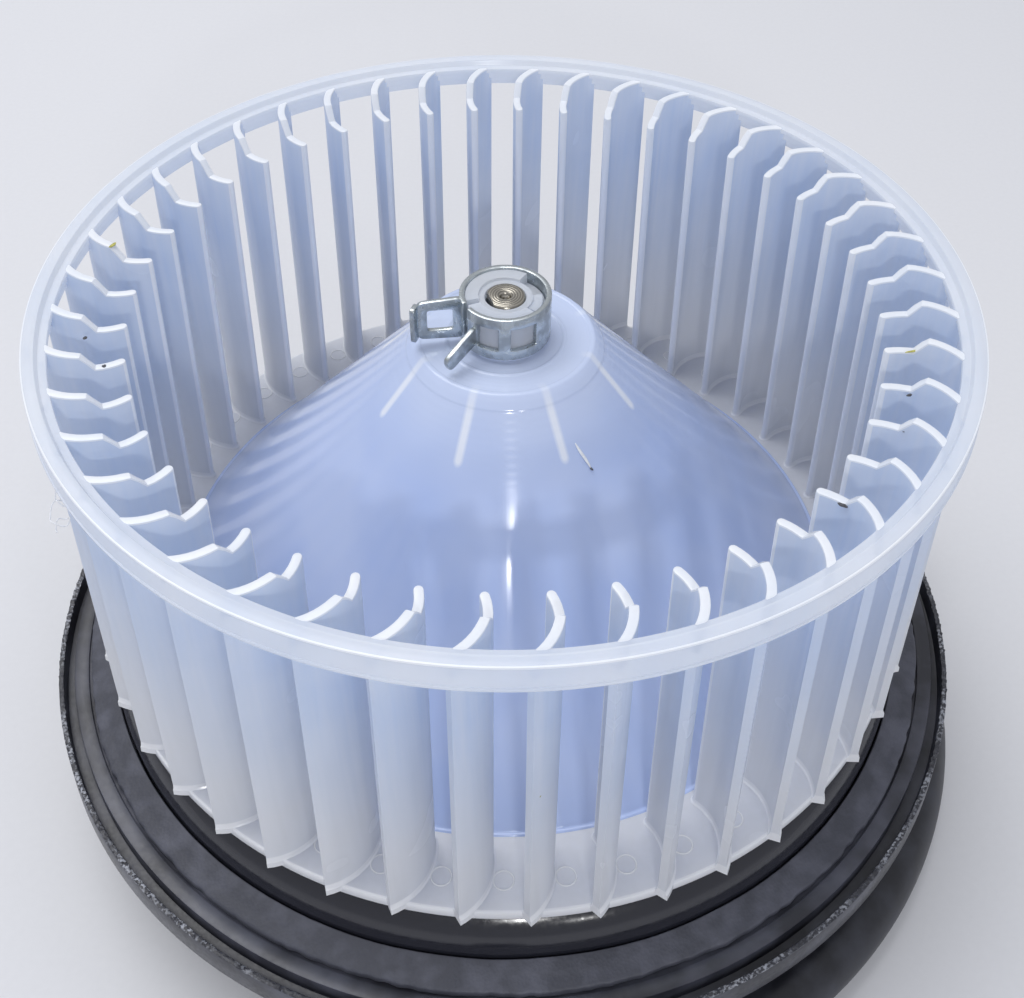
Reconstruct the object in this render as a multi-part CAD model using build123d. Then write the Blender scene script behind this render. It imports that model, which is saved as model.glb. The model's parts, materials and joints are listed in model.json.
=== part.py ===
"""Cabin blower motor: a bladed wheel on a small brushed motor, with its mounting flange.

Millimetres. Z = 0 is the surface the motor stands on, +Z is the shaft's axis, and -Y is the side
that the photograph shows. Every size that drives another is named once, just below.
"""

import os
from math import atan2, cos, degrees, hypot, pi, radians, sin

from build123d import *

# Driving sizes of the wheel
WHEEL_R = 75.0          # outer radius of the rim and of the base disc
WHEEL_H = 66.4          # rim's top face to the disc's underside
DISC_T = 2.4            # thickness of the base disc
BLADES = 44             # counted round the wheel
BLADE_T = 1.4           # blade thickness
BLADE_FLATS = 4         # flats along each side of a blade
BLADE_INNER = 15.0      # radial distance from the rim's outside to a blade's inner tip at the top
BLADE_LEAN = 3.2        # how far a blade's foot stands further out than its top
BLADE_PHASE = 120.6     # direction of the first blade's inner tip, in degrees
RIM_W = 3.7             # width of the rim ring's section
RIM_H = 4.8             # height of the rim ring
RIM_LIP = 0.25          # the small lip round the rim's lower edge
STEP_DROP = 2.55        # how far the inner part of a blade's top edge lies below its outer part
CONE_T = 3.0            # the cone's wall, measured along the axis
PLATEAU_R = 14.8        # the flat round the hub, at the cone's top
PLATEAU_DROP = 10.35    # rim's top face down to that flat
BOSS_R = 6.55           # slotted boss that the spring band grips
BOSS_DROP = 1.7         # rim's top face down to the boss's top
SLEEVE_GAP = 0.5        # between the hub sleeve's end and the oil slinger
RIBS = 8               # stiffening ribs under the cone's top
RIB_R = 22.65           # how far the ribs reach
RIB_T = 1.4
RIB_PHASE = 24.0

# Driving sizes of the spring band
BAND_T = 0.9
BAND_H = 8.0
BAND_DROP = 1.4         # rim's top face down to the band's upper edge
EAR_L = 7.2             # how far the two ears stand out of the band
WIDE_EAR_DEG = 190.0
NARROW_EAR_DEG = 229.0

# Driving sizes of the shaft
SHAFT_R = 3.3
SHAFT_FLAT = 2.55       # distance from the axis to the flat
SHAFT_FLAT_DEG = 198.0
SHAFT_DROP = 1.9        # rim's top face down to the shaft's end
RUN_GAP = 0.03          # radial clearance of the shaft in its bushes and of pieces pushed on to it

# Driving sizes of the housing and flange
SKIN = 2.5              # wall of the moulded housing
DECK_GAP = 1.4          # deck of the housing below the wheel's disc
COLLAR_OUT = 1.5        # how far the rolled collar stands out beyond the wheel
COLLAR_ROLL = 8.0       # radius of the roll
ROLL_FLATS = 5          # flats that draw the roll
FACE_DROP = 3.5         # foot of the roll down to the flange's flat face
SEAL_W = 5.8            # foam seal, from the collar to its outer edge
SEAL_T = 3.2            # seal's height above the flat face at its inner edge
SEAL_EDGE_T = 1.4       # and at its outer edge
SEAL_SEAT = 0.4         # how deep its seat is cut into the flat face
SEAL_GAP = 0.3          # between the seal and the collar
FACE_W = 2.75           # flat face left outside the seal
GROOVE_W = 2.15
GROOVE_D = 4.2
EDGE_W = 1.0            # thin wall round the groove
EDGE_DROP = 0.9         # its top below the flat face
FLANGE_FLARE = 0.4      # how far that wall spreads to its foot
FLANGE_H = 6.7          # flat face down to the flange's foot
EAR_OUT = 5.8           # fixing holes beyond the flange's edge
EAR_HOLE_R = 2.75
EAR_R = 6.5
EAR_T = 4.0
EAR_PHASE = 30.0
CUP_GAP = 3.72          # the cone's underside above the edge of the cup that rises inside it
SKIRT_DROP = 9.2        # joint between the housing and the lower cover, below the deck

# Driving sizes of the lower cover
COVER_OUT = 3.5         # its outside beyond the cup's
COVER_WALL = 2.4
COVER_SCREW_OUT = 7.0   # its three screws beyond its outside
COVER_SCREW_PHASE = 90.0
COVER_FLOOR = 2.2       # thickness of the cover's floor
SCREW_R = 1.35
SCREW_HEAD_R = 3.2
SCREW_HEAD_H = 2.2
SCREW_BITE = 4.7        # how far a screw reaches into its boss
SOCKET_DEG = 180.0      # direction of the plug socket
SOCKET_W = 22.0
SOCKET_H = 13.0
SOCKET_Z = 12.0
SOCKET_OUT = 12.0       # how far the socket stands out of the cover
SOCKET_IN = 1.0
PIN_W = 6.3             # width of its two blades
PIN_T = 0.8
PIN_PITCH = 10.0
PIN_OUT = 10.0          # how far they reach outside the cover
PIN_IN = 3.0            # and inside it
ISOLATOR_IN = 3.0       # three rubber mounts inside the can's outside
ISOLATOR_PHASE = 45.0

# Driving sizes of the cooling tube
TUBE_R = 7.0
TUBE_WALL = 1.75
TUBE_OUT = 47.0         # its run round the motor, beyond the cover's wall
TUBE_START_DEG = 20.0   # direction of its spigot
TUBE_JOIN_DEG = -10.0   # where it meets the run
TUBE_END_DEG = -75.0    # where it ends
TUBE_Z = 7.3

# Driving sizes of the motor inside
CAN_R = 30.0
CAN_T = 1.5
CAN_FOOT = 13.0         # height of the can's open end
CAN_GAP = 1.0           # the can's closed end below the cup's ceiling
HEAD_GAP = 1.8          # the windings below the can's ceiling
MAGNET_T = 5.0
MAGNET_DEG = 126.0
CORE_GAP = 0.6          # between the magnets and the core
CORE_L = 26.0
CORE_Z = 31.0
SLOTS = 10
COMM_R = 9.0
COMM_L = 11.0
COMM_Z = 15.6
BRUSH_W = 4.0
BRUSH_H = 5.0
BRUSH_L = 8.0
PLATE_T = 2.0
BUSH_R = 6.0
BUSH_H = 7.0
SEAT_RISE = 6.1         # raised seat of the upper bush above the can's top
WASHER_R = 5.2
WASHER_T = 0.7
SLINGER_R = 8.5
SLINGER_T = 0.9
SLINGER_H = 2.2
SLINGER_HUB = 1.7       # wall of its hub
SLINGER_GAP = 0.35      # between the slinger and the seat of the upper bush
RETAINER_W = 3.4        # retainers reach this far beyond the bush
RETAINER_T = 0.8
RETAINER_GAP = 1.2      # and leave this much round the shaft
MOUNT_Z = 6.2           # seats of the rubber mounts
MOUNT_R = 2.9
CHOKE_R = 2.9
CHOKE_L = 12.0
CHOKE_Y = 16.0          # chokes beside the commutator
GROMMET_W = 4.0         # rubber ring between the can and the cup
GROMMET_H = 6.0
GROMMET_DROP = 8.0      # grommet's top below the can's top
WIRE_HEAD = 4.2         # height of the windings beyond the core

# The motor sets the cup, and the cup sets the wheel's height: the cone stands clear of its edge
CUP_IN_R = CAN_R + GROMMET_W
CUP_R = CUP_IN_R + SKIN
CAN_TOP = CORE_Z + CORE_L + WIRE_HEAD + HEAD_GAP + CAN_T
CUP_Z = CAN_TOP + CAN_GAP + SKIN
CONE_RISE = WHEEL_H - PLATEAU_DROP - DISC_T
CONE_FOOT_R = WHEEL_R - BLADE_INNER + 1.5
CONE_SLOPE = CONE_RISE / (CONE_FOOT_R - PLATEAU_R)
CONE_IN_FOOT_R = PLATEAU_R + (CONE_RISE + DISC_T - CONE_T) / CONE_SLOPE
WHEEL_Z = CUP_Z + CUP_GAP - (CONE_IN_FOOT_R - CUP_R) * CONE_SLOPE

# Heights and radii that follow from them
COVER_R = CUP_R + COVER_OUT
COVER_SCREW_R = COVER_R + COVER_SCREW_OUT
ISOLATOR_R = CAN_R - ISOLATOR_IN
COLLAR_R = WHEEL_R + COLLAR_OUT
SEAL_R = COLLAR_R + SEAL_W
GROOVE_R = SEAL_R + FACE_W
EDGE_R = GROOVE_R + GROOVE_W + EDGE_W
FLANGE_R = EDGE_R + FLANGE_FLARE
EAR_PCD_R = EDGE_R + EAR_OUT
TUBE_PATH_R = COVER_R + TUBE_OUT
RIM_Z = WHEEL_Z + WHEEL_H
DISC_Z = WHEEL_Z + DISC_T
PLATEAU_Z = RIM_Z - PLATEAU_DROP
DECK_Z = WHEEL_Z - DECK_GAP
ROLL_Z = DECK_Z - COLLAR_ROLL
FACE_Z = ROLL_Z - FACE_DROP
FLANGE_Z = FACE_Z - FLANGE_H
JOINT_Z = DECK_Z - SKIRT_DROP
CAN_IN_R = CAN_R - CAN_T
CORE_R = CAN_IN_R - MAGNET_T - CORE_GAP
SHAFT_TOP = RIM_Z - SHAFT_DROP
SEAT_TOP = CAN_TOP + SEAT_RISE
SLINGER_Z = SEAT_TOP + SLINGER_GAP
SLEEVE_Z = SLINGER_Z + SLINGER_H + SLEEVE_GAP
UPPER_BUSH_Z = SEAT_TOP - CAN_T
LOWER_BUSH_Z = CAN_FOOT - BUSH_H - 0.4
SHAFT_FOOT = LOWER_BUSH_Z + 0.6
BRUSH_Z = COMM_Z + 1.8


def turned(points):
    """A solid of revolution about Z from (radius, height) points."""
    outline = Polyline(*[(r, 0, z) for r, z in points], close=True)
    return revolve(make_face(outline), Axis.Z)


def tube(outer, inner, z0, z1):
    """A plain ring."""
    ring = Pos(0, 0, (z0 + z1) / 2) * Cylinder(outer, z1 - z0)
    return ring - Pos(0, 0, (z0 + z1) / 2) * Cylinder(inner, (z1 - z0) * 2)


def rod(radius, z0, z1):
    return Pos(0, 0, (z0 + z1) / 2) * Cylinder(radius, z1 - z0)


def block(x0, x1, y0, y1, z0, z1):
    return Pos((x0 + x1) / 2, (y0 + y1) / 2, (z0 + z1) / 2) * Box(x1 - x0, y1 - y0, z1 - z0)


def at(angle, shape):
    """The shape turned about Z to the given direction."""
    return Rot(0, 0, angle) * shape


def on_ring(radius, angle):
    return Vector(radius * cos(radians(angle)), radius * sin(radians(angle)))


def three_point_circle(a, b, c):
    """Centre and radius of the circle through three points."""
    d = 2 * (a[0] * (b[1] - c[1]) + b[0] * (c[1] - a[1]) + c[0] * (a[1] - b[1]))
    sa, sb, sc = (p[0] ** 2 + p[1] ** 2 for p in (a, b, c))
    x = (sa * (b[1] - c[1]) + sb * (c[1] - a[1]) + sc * (a[1] - b[1])) / d
    y = (sa * (c[0] - b[0]) + sb * (a[0] - c[0]) + sc * (b[0] - a[0])) / d
    return x, y, hypot(a[0] - x, a[1] - y)


# The wheel, moulded as one piece: rim ring, blades, base disc, cone, hub and ribs
def rim_ring():
    """The rim, whose inner side steps down in small ledges as the photograph shows."""
    r = WHEEL_R
    z = RIM_Z
    inner = r - RIM_W
    return turned([
        (r, z), (r, z - RIM_H + 0.7), (r + RIM_LIP, z - RIM_H + 0.7), (r + RIM_LIP, z - RIM_H),
        (inner + 0.8, z - RIM_H), (inner + 0.8, z - RIM_H + 1.9), (inner, z - RIM_H + 1.9),
        (inner, z - 1.1),
        (inner + 1.3, z - 1.1), (inner + 1.6, z),
    ])


def disc_and_cone():
    bore = SHAFT_R + RUN_GAP
    ceiling = PLATEAU_Z - CONE_T * 0.8
    inner_top = PLATEAU_R - CONE_T * 0.2 / CONE_SLOPE
    body = turned([
        (bore, RIM_Z - BOSS_DROP), (BOSS_R, RIM_Z - BOSS_DROP), (BOSS_R, PLATEAU_Z),
        (PLATEAU_R, PLATEAU_Z), (CONE_FOOT_R, DISC_Z), (WHEEL_R, DISC_Z), (WHEEL_R, WHEEL_Z),
        (CONE_IN_FOOT_R, WHEEL_Z), (inner_top, ceiling), (BOSS_R, ceiling),
        (BOSS_R, SLEEVE_Z), (bore, SLEEVE_Z),
    ])
    # the flat that drives the shaft
    key = block(SHAFT_FLAT + RUN_GAP, bore + 0.4, -bore, bore, SLEEVE_Z, RIM_Z - BOSS_DROP)
    body += at(SHAFT_FLAT_DEG, key)
    # four slots let the band squeeze the boss
    slot = block(bore - 0.6, BOSS_R + 1, -0.5, 0.5, PLATEAU_Z + 0.6, RIM_Z)
    body -= [at(20 + 90 * k, slot) for k in range(4)]
    return body


def rib():
    """A web between the hub sleeve and the underside of the cone."""
    under = PLATEAU_Z - (RIB_R - PLATEAU_R) * CONE_SLOPE - CONE_T / 2
    foot = under - 3.2
    outline = Polyline(
        (BOSS_R - 0.8, 0, foot), (RIB_R, 0, foot), (RIB_R, 0, under),
        (PLATEAU_R, 0, PLATEAU_Z - CONE_T / 2), (BOSS_R - 0.8, 0, PLATEAU_Z - CONE_T / 2), close=True)
    return extrude(make_face(outline), RIB_T / 2, both=True)


def blade():
    """One forward-curved blade, leaning outwards to its foot, with its stepped top edge."""
    tip = WHEEL_R - BLADE_INNER
    depth = BLADE_INNER - RIM_W + 0.3
    x, y, radius = three_point_circle((tip, 0), (tip + depth * 0.43, 0.85), (tip + depth, -2.4))
    first = degrees(atan2(-y, tip - x))
    last = degrees(atan2(-2.4 - y, tip + depth - x)) - 13

    def point(r, angle):
        return (x + r * cos(radians(angle)), y + r * sin(radians(angle)))

    # each side is drawn in a few flats, which keeps the many blades light
    turns = [first + (last - first) * k / BLADE_FLATS for k in range(BLADE_FLATS + 1)]
    outline = [point(radius + BLADE_T / 2, a) for a in turns]
    outline += [point(radius - BLADE_T / 2, a) for a in reversed(turns)]
    foot_z = WHEEL_Z + DISC_T / 2
    rise = RIM_Z - 1.1 - foot_z
    plan = Pos(BLADE_LEAN, 0, foot_z) * make_face(Polyline(*outline, close=True))
    body = Solid.extrude(plan.face(), Vector(-BLADE_LEAN, 0, rise))
    # what a blade may fill, turned about the axis: this gives the step and the outer edge
    room = Polyline(
        (tip - 3, 0, WHEEL_Z), (tip - 3, 0, RIM_Z - 1.1 - STEP_DROP),
        (tip + 4.3, 0, RIM_Z - 1.1 - STEP_DROP), (tip + 6.4, 0, RIM_Z - 1.1),
        (WHEEL_R - 1.8, 0, RIM_Z - 1.1), (WHEEL_R - 1.8, 0, RIM_Z - RIM_H + 0.3),
        (WHEEL_R - 2.7, 0, RIM_Z - RIM_H), (WHEEL_R - 0.2, 0, DISC_Z), (WHEEL_R - 0.2, 0, WHEEL_Z),
        close=True)
    wedge = at(-10, revolve(make_face(room), Axis.Z, 20))
    return body & wedge


def blower_wheel():
    one = blade()
    blades = [at(BLADE_PHASE + k * 360 / BLADES, one) for k in range(BLADES)]
    ribs = [at(RIB_PHASE + k * 360 / RIBS, rib()) for k in range(RIBS)]
    return disc_and_cone() + [rim_ring(), *blades, *ribs]


# The spring band that clamps the hub
def hub_clamp():
    inner = BOSS_R + RUN_GAP
    outer = inner + BAND_T
    top = RIM_Z - BAND_DROP
    foot = top - BAND_H
    band = tube(outer, inner, foot, top)
    # the band is open between the roots of its two ears
    gap = (WIDE_EAR_DEG + NARROW_EAR_DEG) / 2
    cut = at(gap, block(0, outer + 1, -0.9, 0.9, foot - 1, top + 1))
    # two windows with a bar between them
    window = block(0, outer + 1, -1.75, 1.75, foot + 1.9, top - 1.9)
    band -= [cut, at(247.5, window), at(295, window)]
    wide = block(outer - 0.5, outer + EAR_L, -BAND_T / 2, BAND_T / 2, foot, top)
    wide -= block(outer + 1.2, outer + EAR_L - 1.4, -2, 2, foot + 1.7, top - 1.7)
    curl = block(outer + EAR_L - BAND_T, outer + EAR_L, -BAND_T / 2, 1.6, foot + 0.6, top - 0.6)
    narrow = block(outer - 0.5, outer + EAR_L, -BAND_T / 2, BAND_T / 2, foot + 2.5, top - 2.5)
    nib = block(outer + EAR_L - BAND_T, outer + EAR_L, -1.3, BAND_T / 2, foot + 2.5, top - 2.5)
    return band + [at(WIDE_EAR_DEG, wide), at(WIDE_EAR_DEG, curl), at(NARROW_EAR_DEG, narrow),
                   at(NARROW_EAR_DEG, nib)]


# The shaft and what turns with it
def motor_shaft():
    shaft = rod(SHAFT_R, SHAFT_FOOT, SHAFT_TOP)
    shaft = chamfer(shaft.edges().filter_by(GeomType.CIRCLE), 0.35)
    flat = block(SHAFT_FLAT, SHAFT_R + 1, -SHAFT_R - 1, SHAFT_R + 1, SLEEVE_Z - 1, SHAFT_TOP + 1)
    shaft -= at(SHAFT_FLAT_DEG, flat)
    # centre hole from the lathe
    return shaft - Pos(0, 0, SHAFT_TOP - 0.6) * Cone(0.1, 1.2, 1.3)


def armature_core():
    """Laminated stack: round teeth on a spider, with a slot between each pair."""
    core = tube(CORE_R, SHAFT_R + RUN_GAP, CORE_Z, CORE_Z + CORE_L)
    step = 360 / SLOTS
    mouth = block(CORE_R - 2.5, CORE_R + 2, -0.9, 0.9, CORE_Z - 1, CORE_Z + CORE_L + 1)
    wide_half = CORE_R * 0.17
    well = Polyline((CORE_R * 0.5, -wide_half * 0.35), (CORE_R - 2.0, -wide_half),
                    (CORE_R - 2.0, wide_half), (CORE_R * 0.5, wide_half * 0.35), close=True)
    well = Pos(0, 0, CORE_Z - 1) * extrude(make_face(well), CORE_L + 2)
    cuts = []
    for k in range(SLOTS):
        cuts += [at(k * step, mouth), at(k * step, well)]
    return core - cuts


def armature_windings():
    """Enamelled copper: a bundle through every slot and a crossing bundle at both ends."""
    step = 360 / SLOTS
    half = CORE_R * 0.17 * 0.35 - 0.15
    far_half = half * 2.2
    inner = CORE_R * 0.5 + 0.35
    outer = CORE_R - 2.6
    bundle = Polyline((inner, -half), (outer, -far_half), (outer, far_half), (inner, half), close=True)
    head = WIRE_HEAD
    bars = [at(k * step, Pos(0, 0, CORE_Z - head + 1) * extrude(make_face(bundle), CORE_L + 2 * head - 2))
            for k in range(SLOTS)]
    ends = []
    for z0, z1 in ((CORE_Z - head, CORE_Z - 0.4), (CORE_Z + CORE_L + 0.4, CORE_Z + CORE_L + head)):
        ends.append(tube(outer - 0.1, inner - 2.2, z0, z1))
    coil = ends[0] + [ends[1], *bars]
    return coil


def commutator():
    """Copper bars on a moulded hub, cut apart by narrow slots."""
    body = tube(COMM_R, SHAFT_R + RUN_GAP, COMM_Z, COMM_Z + COMM_L)
    riser = tube(COMM_R + 1.6, COMM_R - 1, COMM_Z + COMM_L - 1.5, COMM_Z + COMM_L)
    slot = block(COMM_R - 1.2, COMM_R + 2, -0.3, 0.3, COMM_Z - 1, COMM_Z + COMM_L + 1)
    return body + riser - [at(k * 360 / SLOTS, slot) for k in range(SLOTS)]


def thrust_washers():
    """A fibre washer on the shaft next to each bush."""
    upper = UPPER_BUSH_Z - BUSH_H - 1.1
    lower = CAN_FOOT + 1.2
    return [tube(WASHER_R, SHAFT_R + RUN_GAP, upper - WASHER_T, upper),
            tube(WASHER_R, SHAFT_R + RUN_GAP, lower, lower + WASHER_T)]


def spacer_sleeve():
    """Keeps the core and the commutator apart on the shaft."""
    return tube(SHAFT_R + SLINGER_HUB, SHAFT_R + RUN_GAP, COMM_Z + COMM_L, CORE_Z)


def oil_slinger():
    """A dished ring that throws oil off before it reaches the wheel."""
    z = SLINGER_Z
    bore = SHAFT_R + RUN_GAP
    hub = SHAFT_R + SLINGER_HUB
    return turned([(bore, z), (bore, z + SLINGER_H), (hub, z + SLINGER_H), (hub, z + SLINGER_T),
                   (SLINGER_R, z + SLINGER_T), (SLINGER_R, z)])


# The moulded housing, which is also the mounting flange
def motor_housing():
    r_in = COLLAR_R - COLLAR_ROLL
    wall = COLLAR_R - SKIN
    hole = BUSH_R + 4.5
    # the roll is drawn in a few flats, which keeps the long ring light
    turns = [pi / 2 * k / ROLL_FLATS for k in range(ROLL_FLATS + 1)]
    roll = [(r_in + COLLAR_ROLL * sin(a), ROLL_Z + COLLAR_ROLL * cos(a)) for a in turns]
    body = turned([
        (hole, CUP_Z), (CUP_R, CUP_Z), (CUP_R, DECK_Z), *roll,
        (COLLAR_R, FACE_Z - SEAL_SEAT), (SEAL_R, FACE_Z - SEAL_SEAT), (SEAL_R, FACE_Z),
        (GROOVE_R, FACE_Z), (GROOVE_R, FACE_Z - GROOVE_D),
        (GROOVE_R + GROOVE_W, FACE_Z - GROOVE_D), (GROOVE_R + GROOVE_W, FACE_Z - EDGE_DROP),
        (EDGE_R, FACE_Z - EDGE_DROP), (FLANGE_R, FLANGE_Z), (GROOVE_R - SKIN, FLANGE_Z),
        (GROOVE_R - SKIN, FACE_Z - SKIN), (wall, FACE_Z - SKIN), (wall, ROLL_Z - 1),
        (r_in - 1, DECK_Z - SKIN), (COVER_R, DECK_Z - SKIN), (COVER_R, JOINT_Z),
        (CUP_IN_R, JOINT_Z), (CUP_IN_R, CUP_Z - SKIN), (hole, CUP_Z - SKIN),
    ])
    # three fixing ears
    ear = block(EDGE_R - 0.3, EAR_PCD_R, -EAR_R, EAR_R, FLANGE_Z, FLANGE_Z + EAR_T)
    ear += Pos(EAR_PCD_R, 0, FLANGE_Z + EAR_T / 2) * Cylinder(EAR_R, EAR_T)
    ear -= Pos(EAR_PCD_R, 0, FLANGE_Z + EAR_T / 2) * Cylinder(EAR_HOLE_R, EAR_T * 2)
    body += [at(EAR_PHASE + 120 * k, ear) for k in range(3)]
    # bosses for the cover's screws
    boss_top = DECK_Z - SKIN + 0.5
    boss = Pos(COVER_SCREW_R, 0, (JOINT_Z + boss_top) / 2) * Cylinder(3.4, boss_top - JOINT_Z)
    pilot = Pos(COVER_SCREW_R, 0, JOINT_Z + 2.6) * Cylinder(1.4, 5.4)
    body += [at(COVER_SCREW_PHASE + 120 * k, boss) for k in range(3)]
    return body - [at(COVER_SCREW_PHASE + 120 * k, pilot) for k in range(3)]


def foam_seal():
    inner = COLLAR_R + SEAL_GAP
    outer = SEAL_R - SEAL_GAP
    foot = FACE_Z - SEAL_SEAT
    return turned([(inner, foot), (outer, foot), (outer, FACE_Z + SEAL_EDGE_T), (inner, FACE_Z + SEAL_T)])


# The lower cover, with its spigot and plug socket
def lower_cover():
    inner = COVER_R - COVER_WALL
    cup = turned([(0, 0), (COVER_R, 0), (COVER_R, JOINT_Z), (inner, JOINT_Z), (inner, COVER_FLOOR),
                  (0, COVER_FLOOR)])
    ear = block(COVER_R - 0.5, COVER_SCREW_R, -4.2, 4.2, JOINT_Z - 2.6, JOINT_Z)
    ear += Pos(COVER_SCREW_R, 0, JOINT_Z - 1.3) * Cylinder(4.2, 2.6)
    ear -= Pos(COVER_SCREW_R, 0, JOINT_Z - 1.3) * Cylinder(1.8, 6)
    cup += [at(COVER_SCREW_PHASE + 120 * k, ear) for k in range(3)]
    # spigot for the cooling tube
    reach = spigot_reach()
    spigot_r = TUBE_R - TUBE_WALL - 0.05
    along = Pos((inner + reach) / 2, 0, TUBE_Z) * Rot(0, 90, 0)
    cup += at(TUBE_START_DEG, along * Cylinder(spigot_r, reach - inner))
    cup -= at(TUBE_START_DEG, along * Cylinder(spigot_r - 1.3, (reach - inner) * 1.5))
    # window for the plug socket
    cup -= at(SOCKET_DEG, block(inner - 3, COVER_R + 3, -SOCKET_W / 2, SOCKET_W / 2,
                                SOCKET_Z, SOCKET_Z + SOCKET_H))
    # seats for the three rubber mounts
    seat = Pos(ISOLATOR_R, 0, MOUNT_Z / 2) * Cylinder(MOUNT_R + 0.1, MOUNT_Z)
    return cup + [at(ISOLATOR_PHASE + 120 * k, seat) for k in range(3)]


def spigot_reach():
    return COVER_R + 9.0


def tube_path():
    """Corner points of the tube's centre line: out of the spigot, then round the motor."""
    swing = radians(TUBE_START_DEG - TUBE_JOIN_DEG)
    bend = TUBE_PATH_R * sin(swing) / (1 + sin(swing))
    start = (TUBE_PATH_R - bend) * cos(swing)
    centre = on_ring(start, TUBE_START_DEG) + on_ring(bend, TUBE_START_DEG - 90)
    points = [on_ring(COVER_R + 1.0, TUBE_START_DEG)]
    turn = 90 + TUBE_START_DEG - TUBE_JOIN_DEG
    parts = 5
    for k in range(parts + 1):
        points.append(centre + on_ring(bend, TUBE_START_DEG + 90 - turn * k / parts))
    parts = 6
    span = TUBE_JOIN_DEG - TUBE_END_DEG
    for k in range(1, parts + 1):
        points.append(on_ring(TUBE_PATH_R, TUBE_JOIN_DEG - span * k / parts))
    return [(p.X, p.Y, TUBE_Z) for p in points]


def cooling_tube():
    """Rubber tube that brings air to the motor, bent round below the flange."""
    points = tube_path()
    path = Polyline(*points)
    start = Plane(origin=points[0], z_dir=Vector(*points[1]) - Vector(*points[0]))
    outside = sweep(start * Circle(TUBE_R), path=path, transition=Transition.RIGHT)
    inside = sweep(start * Circle(TUBE_R - TUBE_WALL), path=path, transition=Transition.RIGHT)
    return outside - inside


def plug_socket():
    """Socket body for the harness plug, pushed through the cover's wall."""
    half = SOCKET_W / 2 - 0.1
    z0 = SOCKET_Z + 0.1
    z1 = SOCKET_Z + SOCKET_H - 0.1
    inner = COVER_R - COVER_WALL - SOCKET_IN
    outer = COVER_R + SOCKET_OUT
    body = block(inner, outer, -half, half, z0, z1)
    body += block(COVER_R + 0.6, COVER_R + 2.2, -half - 1.2, half + 1.2, z0 - 1.2, z1 + 1.2)
    body -= block(COVER_R + 1.0, outer + 1, -half + 1.5, half - 1.5, z0 + 1.5, z1 - 1.5)
    mid = (z0 + z1) / 2
    half_w = PIN_W / 2 + 0.05
    half_t = PIN_T / 2 + 0.05
    for y in (-PIN_PITCH / 2, PIN_PITCH / 2):
        body -= block(inner - 1, outer, y - half_w, y + half_w, mid - half_t, mid + half_t)
    return at(SOCKET_DEG, body)


def plug_blades():
    """The two tinned blades inside the socket."""
    z = SOCKET_Z + SOCKET_H / 2
    x0 = COVER_R - COVER_WALL - PIN_IN
    x1 = COVER_R + PIN_OUT
    blades = []
    for y in (-PIN_PITCH / 2, PIN_PITCH / 2):
        blade = block(x0, x1, y - PIN_W / 2, y + PIN_W / 2, z - PIN_T / 2, z + PIN_T / 2)
        blades.append(at(SOCKET_DEG, blade))
    return blades


def cover_screws():
    """Three pan-head screws that hold the cover to the housing."""
    seat = JOINT_Z - 2.6
    foot = seat - SCREW_HEAD_H
    screw = rod(SCREW_R, seat - 0.1, JOINT_Z + SCREW_BITE) + rod(SCREW_HEAD_R, foot, seat)
    slot = SCREW_HEAD_R * 0.56
    screw -= block(-0.45, 0.45, -slot, slot, foot - 1, foot + 0.8)
    screw = Pos(COVER_SCREW_R, 0, 0) * screw
    return [at(COVER_SCREW_PHASE + 120 * k, screw) for k in range(3)]


# The motor's fixed parts
def motor_can():
    """Drawn steel can, open at the bottom, with a raised seat for the upper bush."""
    seat = BUSH_R + 0.05
    hole = SHAFT_R + RETAINER_GAP
    return turned([
        (hole, SEAT_TOP), (seat + CAN_T, SEAT_TOP), (seat + CAN_T, CAN_TOP),
        (CAN_R, CAN_TOP), (CAN_R, CAN_FOOT), (CAN_IN_R, CAN_FOOT), (CAN_IN_R, CAN_TOP - CAN_T),
        (seat, CAN_TOP - CAN_T), (seat, SEAT_TOP - CAN_T), (hole, SEAT_TOP - CAN_T),
    ])


def magnets():
    """Two ferrite arcs against the can's wall."""
    z0 = CORE_Z - 3.0
    z1 = CORE_Z + CORE_L + 3.0
    outer = CAN_IN_R - 0.02
    ring = tube(outer, CAN_IN_R - MAGNET_T, z0, z1)
    corner = on_ring(CAN_R * 1.7, MAGNET_DEG / 2)
    keep = Polyline((0, 0), (corner.X, corner.Y), (CAN_R * 2, 0), (corner.X, -corner.Y), close=True)
    keep = Pos(0, 0, z0 - 1) * extrude(make_face(keep), z1 - z0 + 2)
    return [at(side, ring & keep) for side in (0, 180)]


def magnet_clips():
    """Bent spring strips that wedge the magnets apart."""
    z0 = CORE_Z + 2.0
    z1 = CORE_Z + CORE_L - 2.0
    edge_x = (CAN_IN_R - MAGNET_T) * cos(radians(MAGNET_DEG / 2)) - 0.3
    mid = CAN_IN_R - 1.2
    low = CAN_IN_R - MAGNET_T + 0.8
    outline = [(-edge_x, low), (-edge_x + 0.8, low), (-edge_x * 0.5, mid - 0.8), (edge_x * 0.5, mid - 0.8),
               (edge_x - 0.8, low), (edge_x, low), (edge_x * 0.6, mid), (-edge_x * 0.6, mid)]
    clip = Pos(0, 0, z0) * extrude(make_face(Polyline(*outline, close=True)), z1 - z0)
    return [clip, at(180, clip)]


def bush(z):
    """Oil-soaked sintered bush."""
    return tube(BUSH_R, SHAFT_R + RUN_GAP, z, z + BUSH_H)


def upper_bush():
    return bush(UPPER_BUSH_Z - BUSH_H)


def lower_bush():
    return bush(LOWER_BUSH_Z)


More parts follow.
